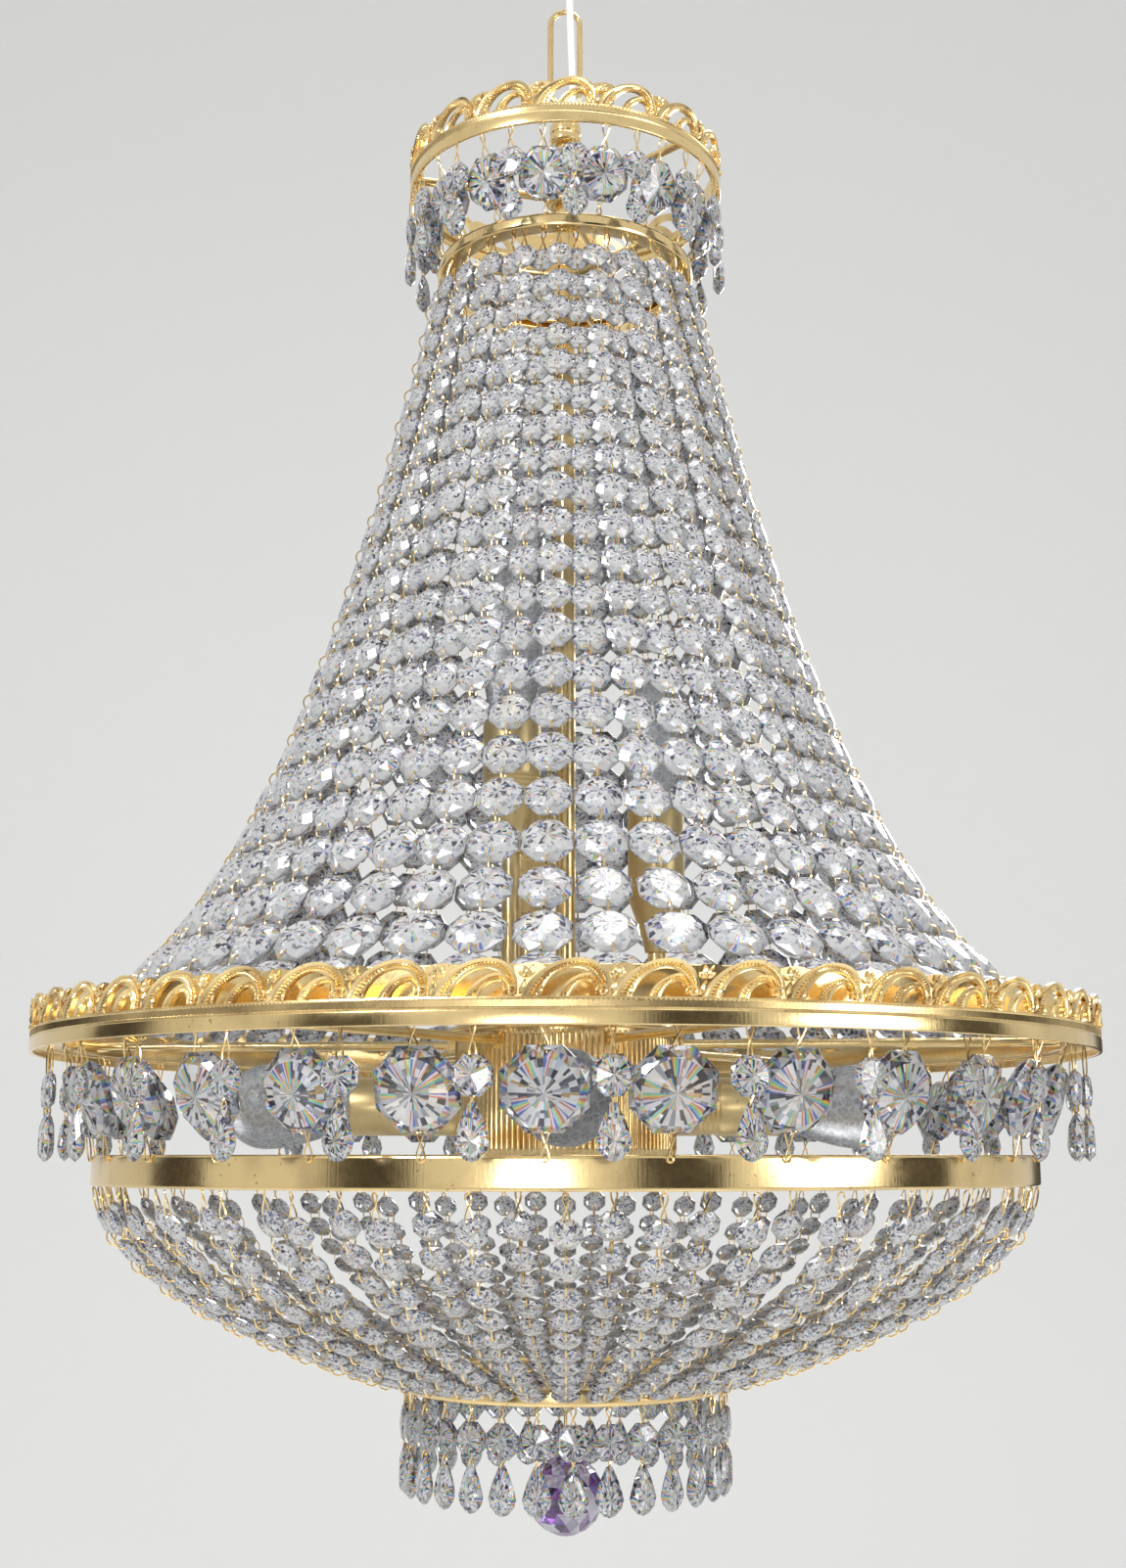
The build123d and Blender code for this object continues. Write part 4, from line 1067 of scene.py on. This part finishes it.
class RingsOperator(ChandelierOperator, bpy.types.Operator):
    """Make the crown hoop, the neck ring, the main hoop, the basket ring and the foot ring"""

    bl_idname = "chandelier.rings"
    bl_label = "Rings"

    def execute(self, context):
        steps = self.sizes.lathe_steps
        bands = {             # outline, rounding, steps and node
            "crown": (self.crown(), 0.6, steps // 2, "crown_hoop"),
            "neck": (self.channel(NECK), 0.6, steps // 2, "neck_ring"),
            "main": (self.main(), 0.6, steps, "main_hoop"),
            "basket": (self.basket(), 0.7, steps, "basket_ring"),
            "foot": (self.channel(FOOT), 0.6, steps // 2, "foot_ring"),
        }
        for name, (outline, rounding, count, node) in bands.items():
            put(f"{name}_band", lathe(rounded(outline, rounding), count), gilt("bright"), node)
        return {"FINISHED"}

    @staticmethod
    def crown():
        """A plain wall, and a shelf turned in from its top."""
        r, low = CROWN["radius"], CROWN["edge"]
        inner, top = r - CROWN["shelf"], low + HOOP_TOP
        shelf = top - WALL
        return [(r, low), (r, top), (inner, top), (inner, shelf), (r - WALL, shelf),
                (r - WALL, low)]

    @staticmethod
    def channel(ring):
        """A channel's outline, open inwards, its outer wall bulging a little."""
        r, low, top = ring["radius"], ring["edge"], ring["edge"] + ring["height"]
        inner = r - ring["width"]
        middle = (low + top) / 2
        return [(r - 0.6, low), (r, low + 1.6), (r, middle), (r, top - 1.6), (r - 0.6, top),
                (inner, top), (inner, top - WALL), (r - WALL, top - WALL),
                (r - WALL, low + WALL), (inner, low + WALL), (inner, low)]

    @staticmethod
    def main():
        """A wall, a shelf in from its top, and a second wall in at the shelf's inner edge."""
        r, low = MAIN["radius"], MAIN["edge"]
        top, inner = low + HOOP_TOP, r - MAIN["shelf"]
        shelf = top - WALL
        foot, head = low + MAIN["drop"], low + MAIN["drop"] + MAIN["inner"]
        return [(r, low), (r, top), (inner + WALL, top), (inner + WALL, head), (inner, head),
                (inner, foot), (inner + WALL, foot), (inner + WALL, shelf), (r - WALL, shelf),
                (r - WALL, low)]

    @staticmethod
    def basket():
        """A tall plain wall with a rolled top edge and a lip turned in at the bottom."""
        r, low, top = BASKET["radius"], BASKET["edge"], BASKET["edge"] + BASKET["height"]
        inner = r - BASKET["lip"]
        return [(r - 0.4, low), (r, low + 1.2), (r, top - 1.4), (r - 0.5, top - 0.3),
                (r - 1.2, top), (r - WALL, top - 0.4), (r - WALL, low + WALL),
                (inner, low + WALL), (inner, low)]


class RodsOperator(ChandelierOperator, bpy.types.Operator):
    """Make the spokes and rods that carry the rings"""

    bl_idname = "chandelier.rods"
    bl_label = "Spokes and rods"

    ROD = 2.5                 # radius of the rods and of the upper spokes
    NUT = 4.4
    SPIDER = {"arm": 1.5, "hub": 6.0, "half": 1.5}

    def execute(self, context):
        upper = around(3, 45.0)
        crown_height = CROWN["edge"] + HOOP_TOP - WALL - 2.55
        neck_height = NECK["edge"] + NECK["height"] / 2
        self.spokes("crown", upper, crown_height, CROWN["radius"] - WALL)
        self.spokes("neck", upper, neck_height, NECK["radius"] - NECK["width"])
        places, height, hub = around(6, 23.65), MAIN["edge"] + 8.0, HUB["radius"]
        rods = self.rods(places, height, hub, MAIN["radius"] - MAIN["shelf"] + 1, self.ROD)
        nuts = self.rods(places, height, hub - 1, hub + 4.5, self.NUT, sides=6)
        put("rods", joined([rods, nuts]), gilt("bright"), "main_rods")
        self.spider()
        return {"FINISHED"}

    def spider(self):
        """Four arms from the foot ring to a small hub, and below it the eye for the ball."""
        middle = FOOT["edge"] + FOOT["height"] / 2
        r, low, top = self.SPIDER["hub"], middle - self.SPIDER["half"], middle + self.SPIDER["half"]
        eye = hoop(BALL["eye"], BALL["wire"], "xz", low - BALL["eye"] - BALL["wire"] / 4)
        hub = lathe(rounded([(0.2, low), (r, low), (r, top), (0.2, top)], 0.5), 40)
        arms = self.rods(around(4, 45.0), middle, 1.0, FOOT["radius"] - WALL, self.SPIDER["arm"])
        put("spider", joined([arms, hub, eye]), gilt("bright"), "foot_spider")

    @staticmethod
    def rods(places, height, start, end, radius, sides=14):
        """Straight round rods that point out from the column."""
        path = np.stack([np.zeros(9), np.zeros(9), np.linspace(start, end, 9)], 1)
        rod = tube(path, radius, sides, (0, 1, 0))
        return rod.moved(ring_axes(places), np.tile([0.0, 0.0, height], (len(places), 1)))

    def spokes(self, name, places, height, reach):
        """Spokes from a collar on the column to a ring."""
        arms = self.rods(places, height, 6.0, reach, self.ROD)
        low, top = height - 4.5, height + 4.5
        collar = [(5.55, low), (10.2, low), (11.0, low + 0.8), (11.0, top - 0.8), (10.2, top),
                  (5.55, top)]
        put(f"{name}_arms", joined([arms, lathe(rounded(collar, 0.5), 48)]), gilt("bright"),
            f"{name}_spokes")


class GalleriesOperator(ChandelierOperator, bpy.types.Operator):
    """Make the cast galleries: leaning scrolls with windows, above a knurled band"""

    bl_idname = "chandelier.galleries"
    bl_label = "Galleries"

    BAND = 5.0                # height of the knurled band, the scrolls' foot
    INSET = 1.3               # of the gallery's middle from the hoop's face
    LEAN = 0.3
    KNURLS = 36               # points of the band in one repeat
    WEB = (
        (-2.6, -0.5), (1.6, -0.5), (2.6, 7.0), (6.4, 11.6), (4.6, 13.0), (1.0, 13.6),
        (-2.8, 13.2), (-6.2, 12.0), (-4.2, 7.4),
    )

    def execute(self, context):
        for name, ring in (("crown", CROWN), ("main", MAIN)):
            low = ring["edge"] + HOOP_TOP
            radius = ring["radius"] - self.INSET
            repeats = GALLERY_REPEATS[name]
            unit = self.wrapped(self.unit(tau * radius / repeats), radius, low, repeats)
            band = self.band(radius, low, repeats * self.KNURLS)
            put(f"{name}_scrolls", joined([unit, band]), gilt("dark"), f"{name}_gallery")
        return {"FINISHED"}

    def band(self, radius, low, count):
        """The knurled band: every other point of a row stands out by d, and each row is turned
        by one point, between two plain edges."""
        u = np.arange(count)[None, :]
        heights = np.array([0.0, 0.0, 0.7, 1.0, 1.9, 2.8, 3.7, 4.2, self.BAND, self.BAND])[:, None]
        face = np.array([-0.9, 0.9, 1.1, 0.15, 0.15, 0.15, 0.15, 1.0, 0.8, -0.9])[:, None]
        row = np.array([0, 0, 0, 0, 1, 2, 3, 0, 0, 0])[:, None]
        knurled = np.isin(np.arange(10), [3, 4, 5, 6])[:, None]
        reach = radius + face + knurled * 1.1 * ((u + row) % 2)
        turn = tau * u / count
        points = np.stack([reach * np.sin(turn), -reach * np.cos(turn),
                           low + np.broadcast_to(heights, reach.shape)], -1)
        return grid_surface(points[::-1], wrap_u=True, wrap_v=True)

    @staticmethod
    def plume(centre, outer, inner, first, last, ridges, rise, count):
        """A crescent scroll.  At the angle a its edges are c + (w cos a, h sin a), where w runs
        from the right reach to the left one as (1 - cos a) / 2; across it the face rises by
        |cos(pi ridges s)|, and the middle ridge is beaded along the way."""
        a = np.radians(np.linspace(first, last, count))[:, None]
        s = np.linspace(0, 1, 7)[None, :]
        left = (1 - np.cos(a)) / 2

        def edge(right_reach, left_reach, high):
            wide = right_reach + (left_reach - right_reach) * left
            return centre[0] + wide * np.cos(a), centre[1] + high * np.sin(a)

        (x0, y0), (x1, y1) = edge(*outer), edge(*inner)
        x, y = x0 + (x1 - x0) * s, y0 + (y1 - y0) * s
        beads = np.where(np.abs(s - 0.5) < 0.2, 0.25 + 0.75 * (np.arange(count)[:, None] % 2), 1.0)
        z = 0.1 + rise * np.abs(np.cos(pi * ridges * s)) * beads + 0 * a
        front = np.stack([x, y, z], -1)
        back = np.stack([x[:, ::-6], y[:, ::-6], np.full((count, 2), -0.9)], -1)
        rim = np.concatenate([front, back], 1)[:, ::-1]
        if last > first:
            rim = rim[:, ::-1]
        return ended(grid_surface(rim, wrap_v=True), count, rim.shape[1])

    @staticmethod
    def volute(centre, reach, turns):
        """A spiral x = cx + r cos a, y = cy + r sin a, with r growing evenly."""
        share = np.linspace(0.12, 1, 18)
        a = tau * turns * share
        path = np.stack([centre[0] + reach * share * np.cos(a),
                         centre[1] + reach * share * np.sin(a), 0.9 - 0.5 * share], 1)
        return tube(path, 0.45 + 0.25 * share, 6, (0, 0, 1))

    def unit(self, pitch):
        """One repeat of the pattern, flat: x along the ring, y up, z outward."""
        edge = pitch / 2
        foot = self.BAND
        parts = [
            self.plume((0.4, foot - 0.6), (edge - 2.2, edge + 0.2, 16.0),
                       (edge - 5.6, edge - 7.4, 11.8), 4, 178, 2, 1.35, 61),
            self.plume((6.4, foot - 0.6), (7.6, 10.2, 10.0), (4.6, 5.2, 6.6), 10, 178, 2, 1.2, 41),
            self.volute((edge - 4.4, foot + 2.2), 2.7, 1.5),
            self.plate(np.array(self.WEB) + (edge, foot)),
        ]
        for turn, length in ((-58, 4.4), (-20, 5.8), (18, 5.6), (56, 4.2)):
            parts.append(self.leaf((edge - 0.2, foot + 7.6), radians(turn), length))
        parts.append(self.leaf((edge - 0.6, foot + 0.6), radians(4), 6.6))
        parts.append(self.leaf((-edge + 7.4, foot - 0.4), radians(-4), 5.2))
        return joined(parts)

    @staticmethod
    def plate(outline):
        """A flat filling between two scrolls, from a closed outline that runs anticlockwise."""
        count = len(outline)
        points = np.concatenate([np.column_stack([outline, np.full(count, z)])
                                 for z in (0.25, -0.9)])
        k = np.arange(count)
        k1 = (k + 1) % count
        walls = np.stack([k, k + count, k1 + count, k1], 1)
        made = Surface(points, walls, np.full(count, 4))
        return capped(capped(made, k), k[::-1] + count)

    @staticmethod
    def leaf(root, turn, length):
        """A pointed leaf: a tube along a straight line whose radius is sin of the share of it."""
        t = np.linspace(0.04, 0.98, 7)
        path = np.stack([root[0] + t * length * sin(turn), root[1] + t * length * cos(turn),
                         0.5 + 0.5 * np.sin(pi * t)], 1)
        return tube(path, 1.1 * np.sin(pi * t**0.8) + 0.12, 6, (0, 0, 1))

    @staticmethod
    def wrapped(unit, radius, low, repeats):
        """The flat repeat leaning right by a share of y above its band, and bent onto the ring:
        angle x / R, radius R + z, height low + y."""
        x, y, z = unit.points.T
        x = x + GalleriesOperator.LEAN * np.maximum(y - GalleriesOperator.BAND, 0.0)
        turn = np.radians(around(repeats, 0.0))[:, None] + x[None, :] / radius
        reach = radius + np.broadcast_to(z, turn.shape)
        points = np.stack([reach * np.sin(turn), -reach * np.cos(turn),
                           low + np.broadcast_to(y, turn.shape)], -1)
        shift = np.arange(repeats)[:, None] * len(unit.points)
        return Surface(points, unit.corners[None, :] + shift, np.tile(unit.sizes, repeats))


class HubOperator(ChandelierOperator, bpy.types.Operator):
    """Make the fluted hub cup and its cover"""

    bl_idname = "chandelier.hub"
    bl_label = "Hub"

    WALL = 3.0
    FLOOR = 2.5
    BORE = 5.6                # for the column

    def execute(self, context):
        count = HUB["flutes"] * 8
        turn = tau * np.arange(count) / count
        flute = HUB["flute"] * np.abs(np.cos(HUB["flutes"] * turn / 2))
        r, low, top = HUB["radius"], HUB["top"] - HUB["height"], HUB["top"]
        inner, floor = r - self.WALL, low + self.FLOOR
        outline = [           # radius, height and the share of the flutes' depth
            (self.BORE, low, 0), (r - 6, low, 0), (r - 2.2, low + 0.8, 0.3),
            (r - 0.4, low + 3.2, 1), (r, low + 6, 1), (r, top - 5, 1),
            (r - 0.4, top - 3.2, 0.4), (r, top - 2.4, 0),
            (r, top, 0), (inner, top, 0), (inner, floor, 0), (self.BORE, floor, 0),
        ]
        points = np.empty((len(outline), count, 3))
        for row, (radius, height, share) in enumerate(reversed(outline)):
            points[row] = ring_points(around(count, 0.0), radius - share * flute, height)
        put("fluted_cup", grid_surface(points, wrap_u=True, wrap_v=True), gilt("bright"), "hub_cup")
        r, lid = HUB["radius"] + COVER["overhang"], top + COVER["thickness"]
        profile = [(self.BORE, top), (r - 0.5, top), (r, top + 0.8), (r, top + 1.8), (r - 1.4, lid),
                   (self.BORE, lid)]
        put("cover", lathe(rounded(profile, 0.4), 160), gilt("bright"), "hub_cover")
        return {"FINISHED"}


def threaded(radius, top, turns, length, depth):
    """Profile points (r, z) of rounded thread ridges, going down from the top."""
    t = np.linspace(0, 1, turns * 6 + 1)
    return [(radius - depth * (0.5 - 0.5 * cos(tau * turns * s)), top - length * s) for s in t]


def bulb_profile(diameter, length, pointed):
    """Profile (r, z) of a bulb's glass, from its neck to its tip: a smooth swell
    r = n + (w - n) sin^2(90 s) to the widest place, then a circle's arc to the tip."""
    widest = diameter / 2
    belly = length * 0.4 if pointed else length - widest
    s = np.linspace(0, 1, 14)
    swell = BULB_NECK + (widest - BULB_NECK) * np.sin(s * pi / 2) ** 1.3
    rise = np.stack([swell, 1.0 + (belly - 1.0) * s], 1)
    if pointed:
        crown = arc((widest, belly), (widest * 0.72, length * 0.82), (1.5, length), 18)
    else:
        crown = arc((widest, belly), (widest * 0.74, belly + widest * 0.68), (1.5, length), 18)
    neck = [(BULB_NECK - 0.2, -BULB_SEAT), (BULB_NECK, -BULB_SEAT + 1.0)]
    return np.concatenate([neck, rise, crown[1:]])


def cap_profile():
    """Profile (r, z) of a bulb's screw cap, with its ridges and its contact."""
    low = -BULB_SEAT - CAP["length"]
    ridges = threaded(CAP["radius"], -BULB_SEAT - 1.0, CAP["turns"], CAP["thread"], CAP["depth"])
    contact = [(1.2, low), (3.0, low + 0.4), (5.6, low + 3.4)]
    return contact + ridges[::-1] + [(CAP["radius"] - 0.2, -BULB_SEAT)]


def cup_profile(thread_top, flank, foot):
    """A lamp cup's profile (r, z), its rim at z = 0: a tube with a thread, the flank below it,
    and the bore from the foot up, wide at the top for the bulb."""
    outer, inner = CUP_RADIUS, CUP_RADIUS - CUP_WALL
    rim = [(inner, -0.6), (outer - 0.9, 0.0), (outer - 0.3, -0.3), (outer, -1.2)]
    thread = threaded(outer, thread_top, THREAD["turns"], THREAD["length"], THREAD["depth"])
    bore = [(BORE["lead"], foot), (BORE["lead"], BORE["cap_end"]), (BORE["cap"], BORE["cap_end"]),
            (BORE["cap"], BORE["seat"]), (inner, BORE["seat"])]
    return rim + thread + flank + bore


def put_bulb(kind, name, glass, axes, spot):
    """A bulb's glass and its screw cap, which turn together."""
    node = f"{kind}_bulb_{name}"
    for part, surface, material in (("glass", glass, lamp_glass()),
                                    ("cap", spindle(cap_profile(), 32), steel_cap())):
        put(f"{kind}_{part}_{name}", surface.moved(axes[None], spot[None]), material, node,
            body=node, replaces=part == "glass")


class CandlesOperator(ChandelierOperator, bpy.types.Operator):
    """Make the three upright candle lamps on the hub's cover"""

    bl_idname = "chandelier.candles"
    bl_label = "Candle lamps"

    def execute(self, context):
        azimuths, rims = np.array(list(CANDLES.values())).T
        spots = ring_points(azimuths, CANDLE["circle"], rims)
        cups = lathe(self.cup(), 48).moved(np.tile(np.eye(3), (len(spots), 1, 1)), spots)
        put("candle_holders", cups, gilt("satin"), "candle_cups")
        pipes = joined([self.pipe(*spot) for spot in spots])
        put("candle_pipes", pipes, gilt("bright"), "candle_stems")
        glass = spindle(bulb_profile(CANDLE["bulb"], CANDLE["bulb_length"], True), 40)
        for name, spot in zip(CANDLES, spots):
            put_bulb("candle", name, glass, np.eye(3), spot)
        return {"FINISHED"}

    @staticmethod
    def cup():
        """A tube, a thread, and a taper to the stem: r = n + (R - n) (1 - s)^1.25."""
        low, neck = -CANDLE["tube"] - THREAD["length"], CANDLE["stem"] + CUP_WALL
        t = np.linspace(0, 1, 10)[1:]
        taper = [(neck + (CUP_RADIUS - neck) * (1 - s) ** 1.25, low - CANDLE["taper"] * s)
                 for s in t]
        return cup_profile(low + THREAD["length"], taper, low - CANDLE["taper"])

    @staticmethod
    def pipe(x, y, rim):
        """A lamp's stem, with its foot on the hub's cover."""
        low = HUB["top"] + COVER["thickness"]
        top = rim - (CANDLE["tube"] + THREAD["length"] + CANDLE["taper"])
        r, bore, foot = CANDLE["stem"], CANDLE["stem"] / 2, CANDLE["stem"] + 2.4
        profile = [(foot, low), (foot, low + 1.4), (r, low + 2.6), (r, top), (bore, top),
                   (bore, low)]
        return lathe(rounded(profile, 0.4), 32, centre=(x, y))


class SideLampsOperator(ChandelierOperator, bpy.types.Operator):
    """Make the four round lamps that stand out from the hub"""

    bl_idname = "chandelier.side_lamps"
    bl_label = "Side lamps"

    def execute(self, context):
        azimuths = np.array(list(SIDES.values()))
        spots = ring_points(azimuths, SIDE["reach"], SIDE["height"])
        axes = ring_axes(azimuths)
        put("side_holders", lathe(self.cup(), 56).moved(axes, spots), gilt("satin"), "side_cups")
        glass = spindle(bulb_profile(SIDE["bulb"], SIDE["bulb_length"], False), 48)
        for name, outward, spot in zip(SIDES, axes, spots):
            put_bulb("side", name, glass, outward, spot)
        return {"FINISHED"}

    @staticmethod
    def cup():
        """A tube with a thread below its middle."""
        low = -SIDE["cup"]
        return cup_profile(low / 2, [(CUP_RADIUS, low + 1.0), (CUP_RADIUS - 0.6, low)], low)


class DrapeOperator(ChandelierOperator, bpy.types.Operator):
    """String the drape's octagons from the neck ring to the main ring"""

    bl_idname = "chandelier.drape"
    bl_label = "Drape"

    def execute(self, context):
        strand = Strand(DRAPE, DRAPE_ROWS)
        for seed, (group, widths) in enumerate(DRAPE_GROUPS.items()):
            stones = joined([bead(width).moved(*strand.stones(width)) for width in widths])
            node = f"drape_octagons_{group}"
            put(f"drape_stones_{group}", stones.toned(seed + 1), crystal("strung"), node,
                faceted=True)
        return {"FINISHED"}


class BasketOperator(ChandelierOperator, bpy.types.Operator):
    """String the basket's octagons from the basket ring to the foot ring"""

    bl_idname = "chandelier.basket"
    bl_label = "Basket"

    def execute(self, context):
        strand = Strand(BASKET_STRAND, BASKET_ROWS)
        width = next(iter(BASKET_ROWS))
        stones = bead(width).moved(*strand.stones(width))
        put("basket_stones", stones.toned(11), crystal("strung"), "basket_octagons", faceted=True)
        return {"FINISHED"}


class WiresOperator(ChandelierOperator, bpy.types.Operator):
    """Bend the wire rings and hooks that join the strung stones"""

    bl_idname = "chandelier.wires"
    bl_label = "Strand wires"

    OVERLAP = 2.4             # of a hook past the gap that it bridges

    def execute(self, context):
        self.wires("drape_wires", Strand(DRAPE, DRAPE_ROWS), replaces=True)
        self.wires("basket_wires", Strand(BASKET_STRAND, BASKET_ROWS), replaces=False)
        return {"FINISHED"}

    def wires(self, name, strand, replaces):
        """The rings between the stones of the strands, and a crossed wire at each end."""
        wire = self.sizes.wire
        rings = hoop(4.6, wire, "yz", 0.0, 10, 4).moved(*strand.gaps())
        top = crossed_wire(strand.first_hook + self.OVERLAP, 2.6, wire, 20, 4)
        bottom = crossed_wire(strand.last_hook + self.OVERLAP, 2.4, wire, 20, 4)
        hooks_up = top.moved(*strand.spots(np.array([0.0]), strand.shifts[:1]))
        last = strand.run[-1] - strand.last_hook - self.OVERLAP
        hooks_down = bottom.moved(*strand.spots(np.array([last]), strand.shifts[-1:]))
        put(name, joined([rings, hooks_up, hooks_down]), gilt("bright"), "strand_hooks",
            replaces=replaces)


class HungStonesOperator(ChandelierOperator, bpy.types.Operator):
    """Hang the large octagons and the crown octagons between their rings"""

    bl_idname = "chandelier.hung_stones"
    bl_label = "Hung octagons"

    def execute(self, context):
        top = (MAIN["radius"] - MAIN["shelf"] + 1.0, MAIN["edge"] + MAIN["drop"])
        end = (BASKET["radius"] - 1.0, BASKET["edge"] + BASKET["height"])
        hook = (BASKET["radius"] + 0.7, end[1] - 3.2)
        wires = self.hang("large_stones", "large_octagons", LARGE, top, end, hook, 21)
        top = (CROWN["radius"] - 1.0, CROWN["edge"])
        end = (NECK["radius"] - 1.0, NECK["edge"] + NECK["height"])
        wires += self.hang("crown_stones", "crown_octagons", CROWN_STONE, top, end, end, 22)
        put("octagon_wires", joined(wires), gilt("bright"), "octagon_hooks")
        return {"FINISHED"}

    def hang(self, name, node, row, top, end, hook, seed):
        """Stones down a straight line from one ring to the next, and their wires."""
        top, end = np.array(top), np.array(end)
        along = (end - top) / np.linalg.norm(end - top)
        azimuths = around(row["count"], row["first"])
        lean = np.degrees(np.arctan2(along[0], -along[1]))
        axes = ring_axes(azimuths, np.full(row["count"], lean))
        middle = top + along * (row["hook"] + row["width"] / 2)
        stones = star_octagon(row["width"]).moved(axes, ring_points(azimuths, *middle))
        put(name, stones.toned(seed), crystal("large"), node, faceted=True)
        wire = self.sizes.wire
        inset = row["width"] / 2 - 2.6
        rings = hoop(1.35, 0.55, "xy", row["width"] * THICKNESS_SHARE * 0.24, 12, 5)
        wires = [rings.moved(axes, ring_points(azimuths, *(middle + side * along * inset)))
                 for side in (-1, 1)]
        wires.append(wire_between(azimuths, top, middle - along * inset, 3.4, wire))
        wires.append(wire_between(azimuths, middle + along * inset, hook, 3.0, wire))
        return wires


class PendantsOperator(ChandelierOperator, bpy.types.Operator):
    """Hang the pendants: a wire, a button octagon, a wire and a pear drop each"""

    bl_idname = "chandelier.pendants"
    bl_label = "Pendants"

    def execute(self, context):
        pairs = zip(self.row(MAIN_HANG), self.row(FOOT_HANG))
        buttons, drops, wires = (joined(pair) for pair in pairs)
        put("hanging_buttons", buttons.toned(31), crystal("large"), "pendant_buttons", faceted=True)
        put("hanging_drops", drops.toned(32), crystal("large"), "pendant_drops", faceted=True)
        put("hanging_wires", wires, gilt("bright"), "pendant_hooks")
        places = around(CROWN_HANG["count"], CROWN_HANG["first"])
        for number, azimuth in enumerate(places, start=1):
            node = f"crown_pendant_{number:02d}"
            button, drop, wire = self.row(CROWN_HANG, np.array([azimuth]))
            stones = joined([button, drop]).toned(40 + number)
            put(f"crown_drop_{number:02d}", stones, crystal("large"), node, body=node, faceted=True)
            put(f"crown_wire_{number:02d}", wire, gilt("bright"), node, body=node, replaces=False)
        return {"FINISHED"}

    def row(self, row, azimuths=None):
        """Buttons, drops and wires of one ring of pendants."""
        if azimuths is None:
            azimuths = around(row["count"], row["first"])
        axes = ring_axes(azimuths)

        def at(drop):
            return ring_points(azimuths, row["radius"], row["top"] - drop)

        wire = self.sizes.wire
        button = star_octagon(BUTTON).moved(axes, at(row["hook"] + BUTTON / 2))
        below = row["hook"] + BUTTON
        pear = pear_drop(DROP["width"], DROP["length"], DROP["thickness"])
        drop = pear.moved(axes, at(below + DROP["gap"]))
        upper = crossed_wire(row["hook"] + 1.6, 2.6, wire).moved(axes, at(0.4))
        lower = crossed_wire(DROP["gap"] + 4.4, 1.8, wire, 18).moved(axes, at(below - 2.0))
        return button, drop, joined([upper, lower])


class BallOperator(ChandelierOperator, bpy.types.Operator):
    """Hang the crystal ball from the spider of the foot ring"""

    bl_idname = "chandelier.ball"
    bl_label = "Ball"

    PLAY = 0.15               # between the two wire eyes

    def execute(self, context):
        centre = np.array([[0.0, 0.0, BALL["height"]]])
        ball = faceted_ball(BALL["diameter"], 9, 14).moved(np.eye(3)[None], centre)
        put("ball", ball.toned(51), crystal("ball"), "crystal_ball", body="ball", faceted=True)
        joint = next(j for j in frame["joints"] if j["name"] == "ball_swing")
        eye = joint["pos_m"][2] / MM + BALL["wire"] + self.PLAY - BALL["eye"]
        ring = hoop(BALL["eye"], BALL["wire"], "yz", eye)
        top = BALL["height"] + BALL["diameter"] / 2
        half, cap = BALL["wire"] / 2, BALL["cap"]
        pin = spindle([(cap - 1, top - 0.4), (cap, top + 0.3), (cap - 0.8, top + 1.3),
                       (half + 0.5, top + 1.8), (half, top + 2.6), (half, eye - BALL["eye"])], 24)
        put("ball_eye", joined([ring, pin]), gilt("bright"), "ball_hook", body="ball")
        return {"FINISHED"}


class LeftoversOperator(ChandelierOperator, bpy.types.Operator):
    """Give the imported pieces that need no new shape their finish"""

    bl_idname = "chandelier.finishes"
    bl_label = "Finish of plain pieces"

    def execute(self, context):
        plain = {"column_nut": gilt("bright"), "flex_connector": terminal_plastic()}
        for node, material in plain.items():
            frame["nodes"][node].material_slots[0].material = material
        return {"FINISHED"}


OPERATORS = (
    StageOperator, FlexOperator, ColumnOperator, RingsOperator, RodsOperator, GalleriesOperator,
    HubOperator, CandlesOperator, SideLampsOperator, DrapeOperator, BasketOperator, WiresOperator,
    HungStonesOperator, PendantsOperator, BallOperator, LeftoversOperator,
)


class ChandelierPanel(bpy.types.Panel):
    """The chandelier's sizes, colours and pieces"""

    bl_idname = "VIEW3D_PT_chandelier"
    bl_label = "Crystal chandelier"
    bl_space_type = "VIEW_3D"
    bl_region_type = "UI"
    bl_category = "Chandelier"

    def draw(self, context):
        layout = self.layout
        for group in (context.scene.chandelier_sizes, context.scene.chandelier_finish):
            box = layout.box()
            for name in group.__annotations__:
                box.prop(group, name)
        for operator in OPERATORS:
            layout.operator(operator.bl_idname)


CLASSES = (ChandelierSizes, ChandelierFinish, *OPERATORS, ChandelierPanel)


def register():
    for cls in CLASSES:
        bpy.utils.register_class(cls)
    bpy.types.Scene.chandelier_sizes = PointerProperty(type=ChandelierSizes)
    bpy.types.Scene.chandelier_finish = PointerProperty(type=ChandelierFinish)


def unregister():
    del bpy.types.Scene.chandelier_finish
    del bpy.types.Scene.chandelier_sizes
    for cls in reversed(CLASSES):
        bpy.utils.unregister_class(cls)


def main():
    """Build the whole chandelier."""
    register()
    for operator in OPERATORS:
        group, name = operator.bl_idname.split(".")
        getattr(getattr(bpy.ops, group), name)()


if __name__ == "__main__":
    main()
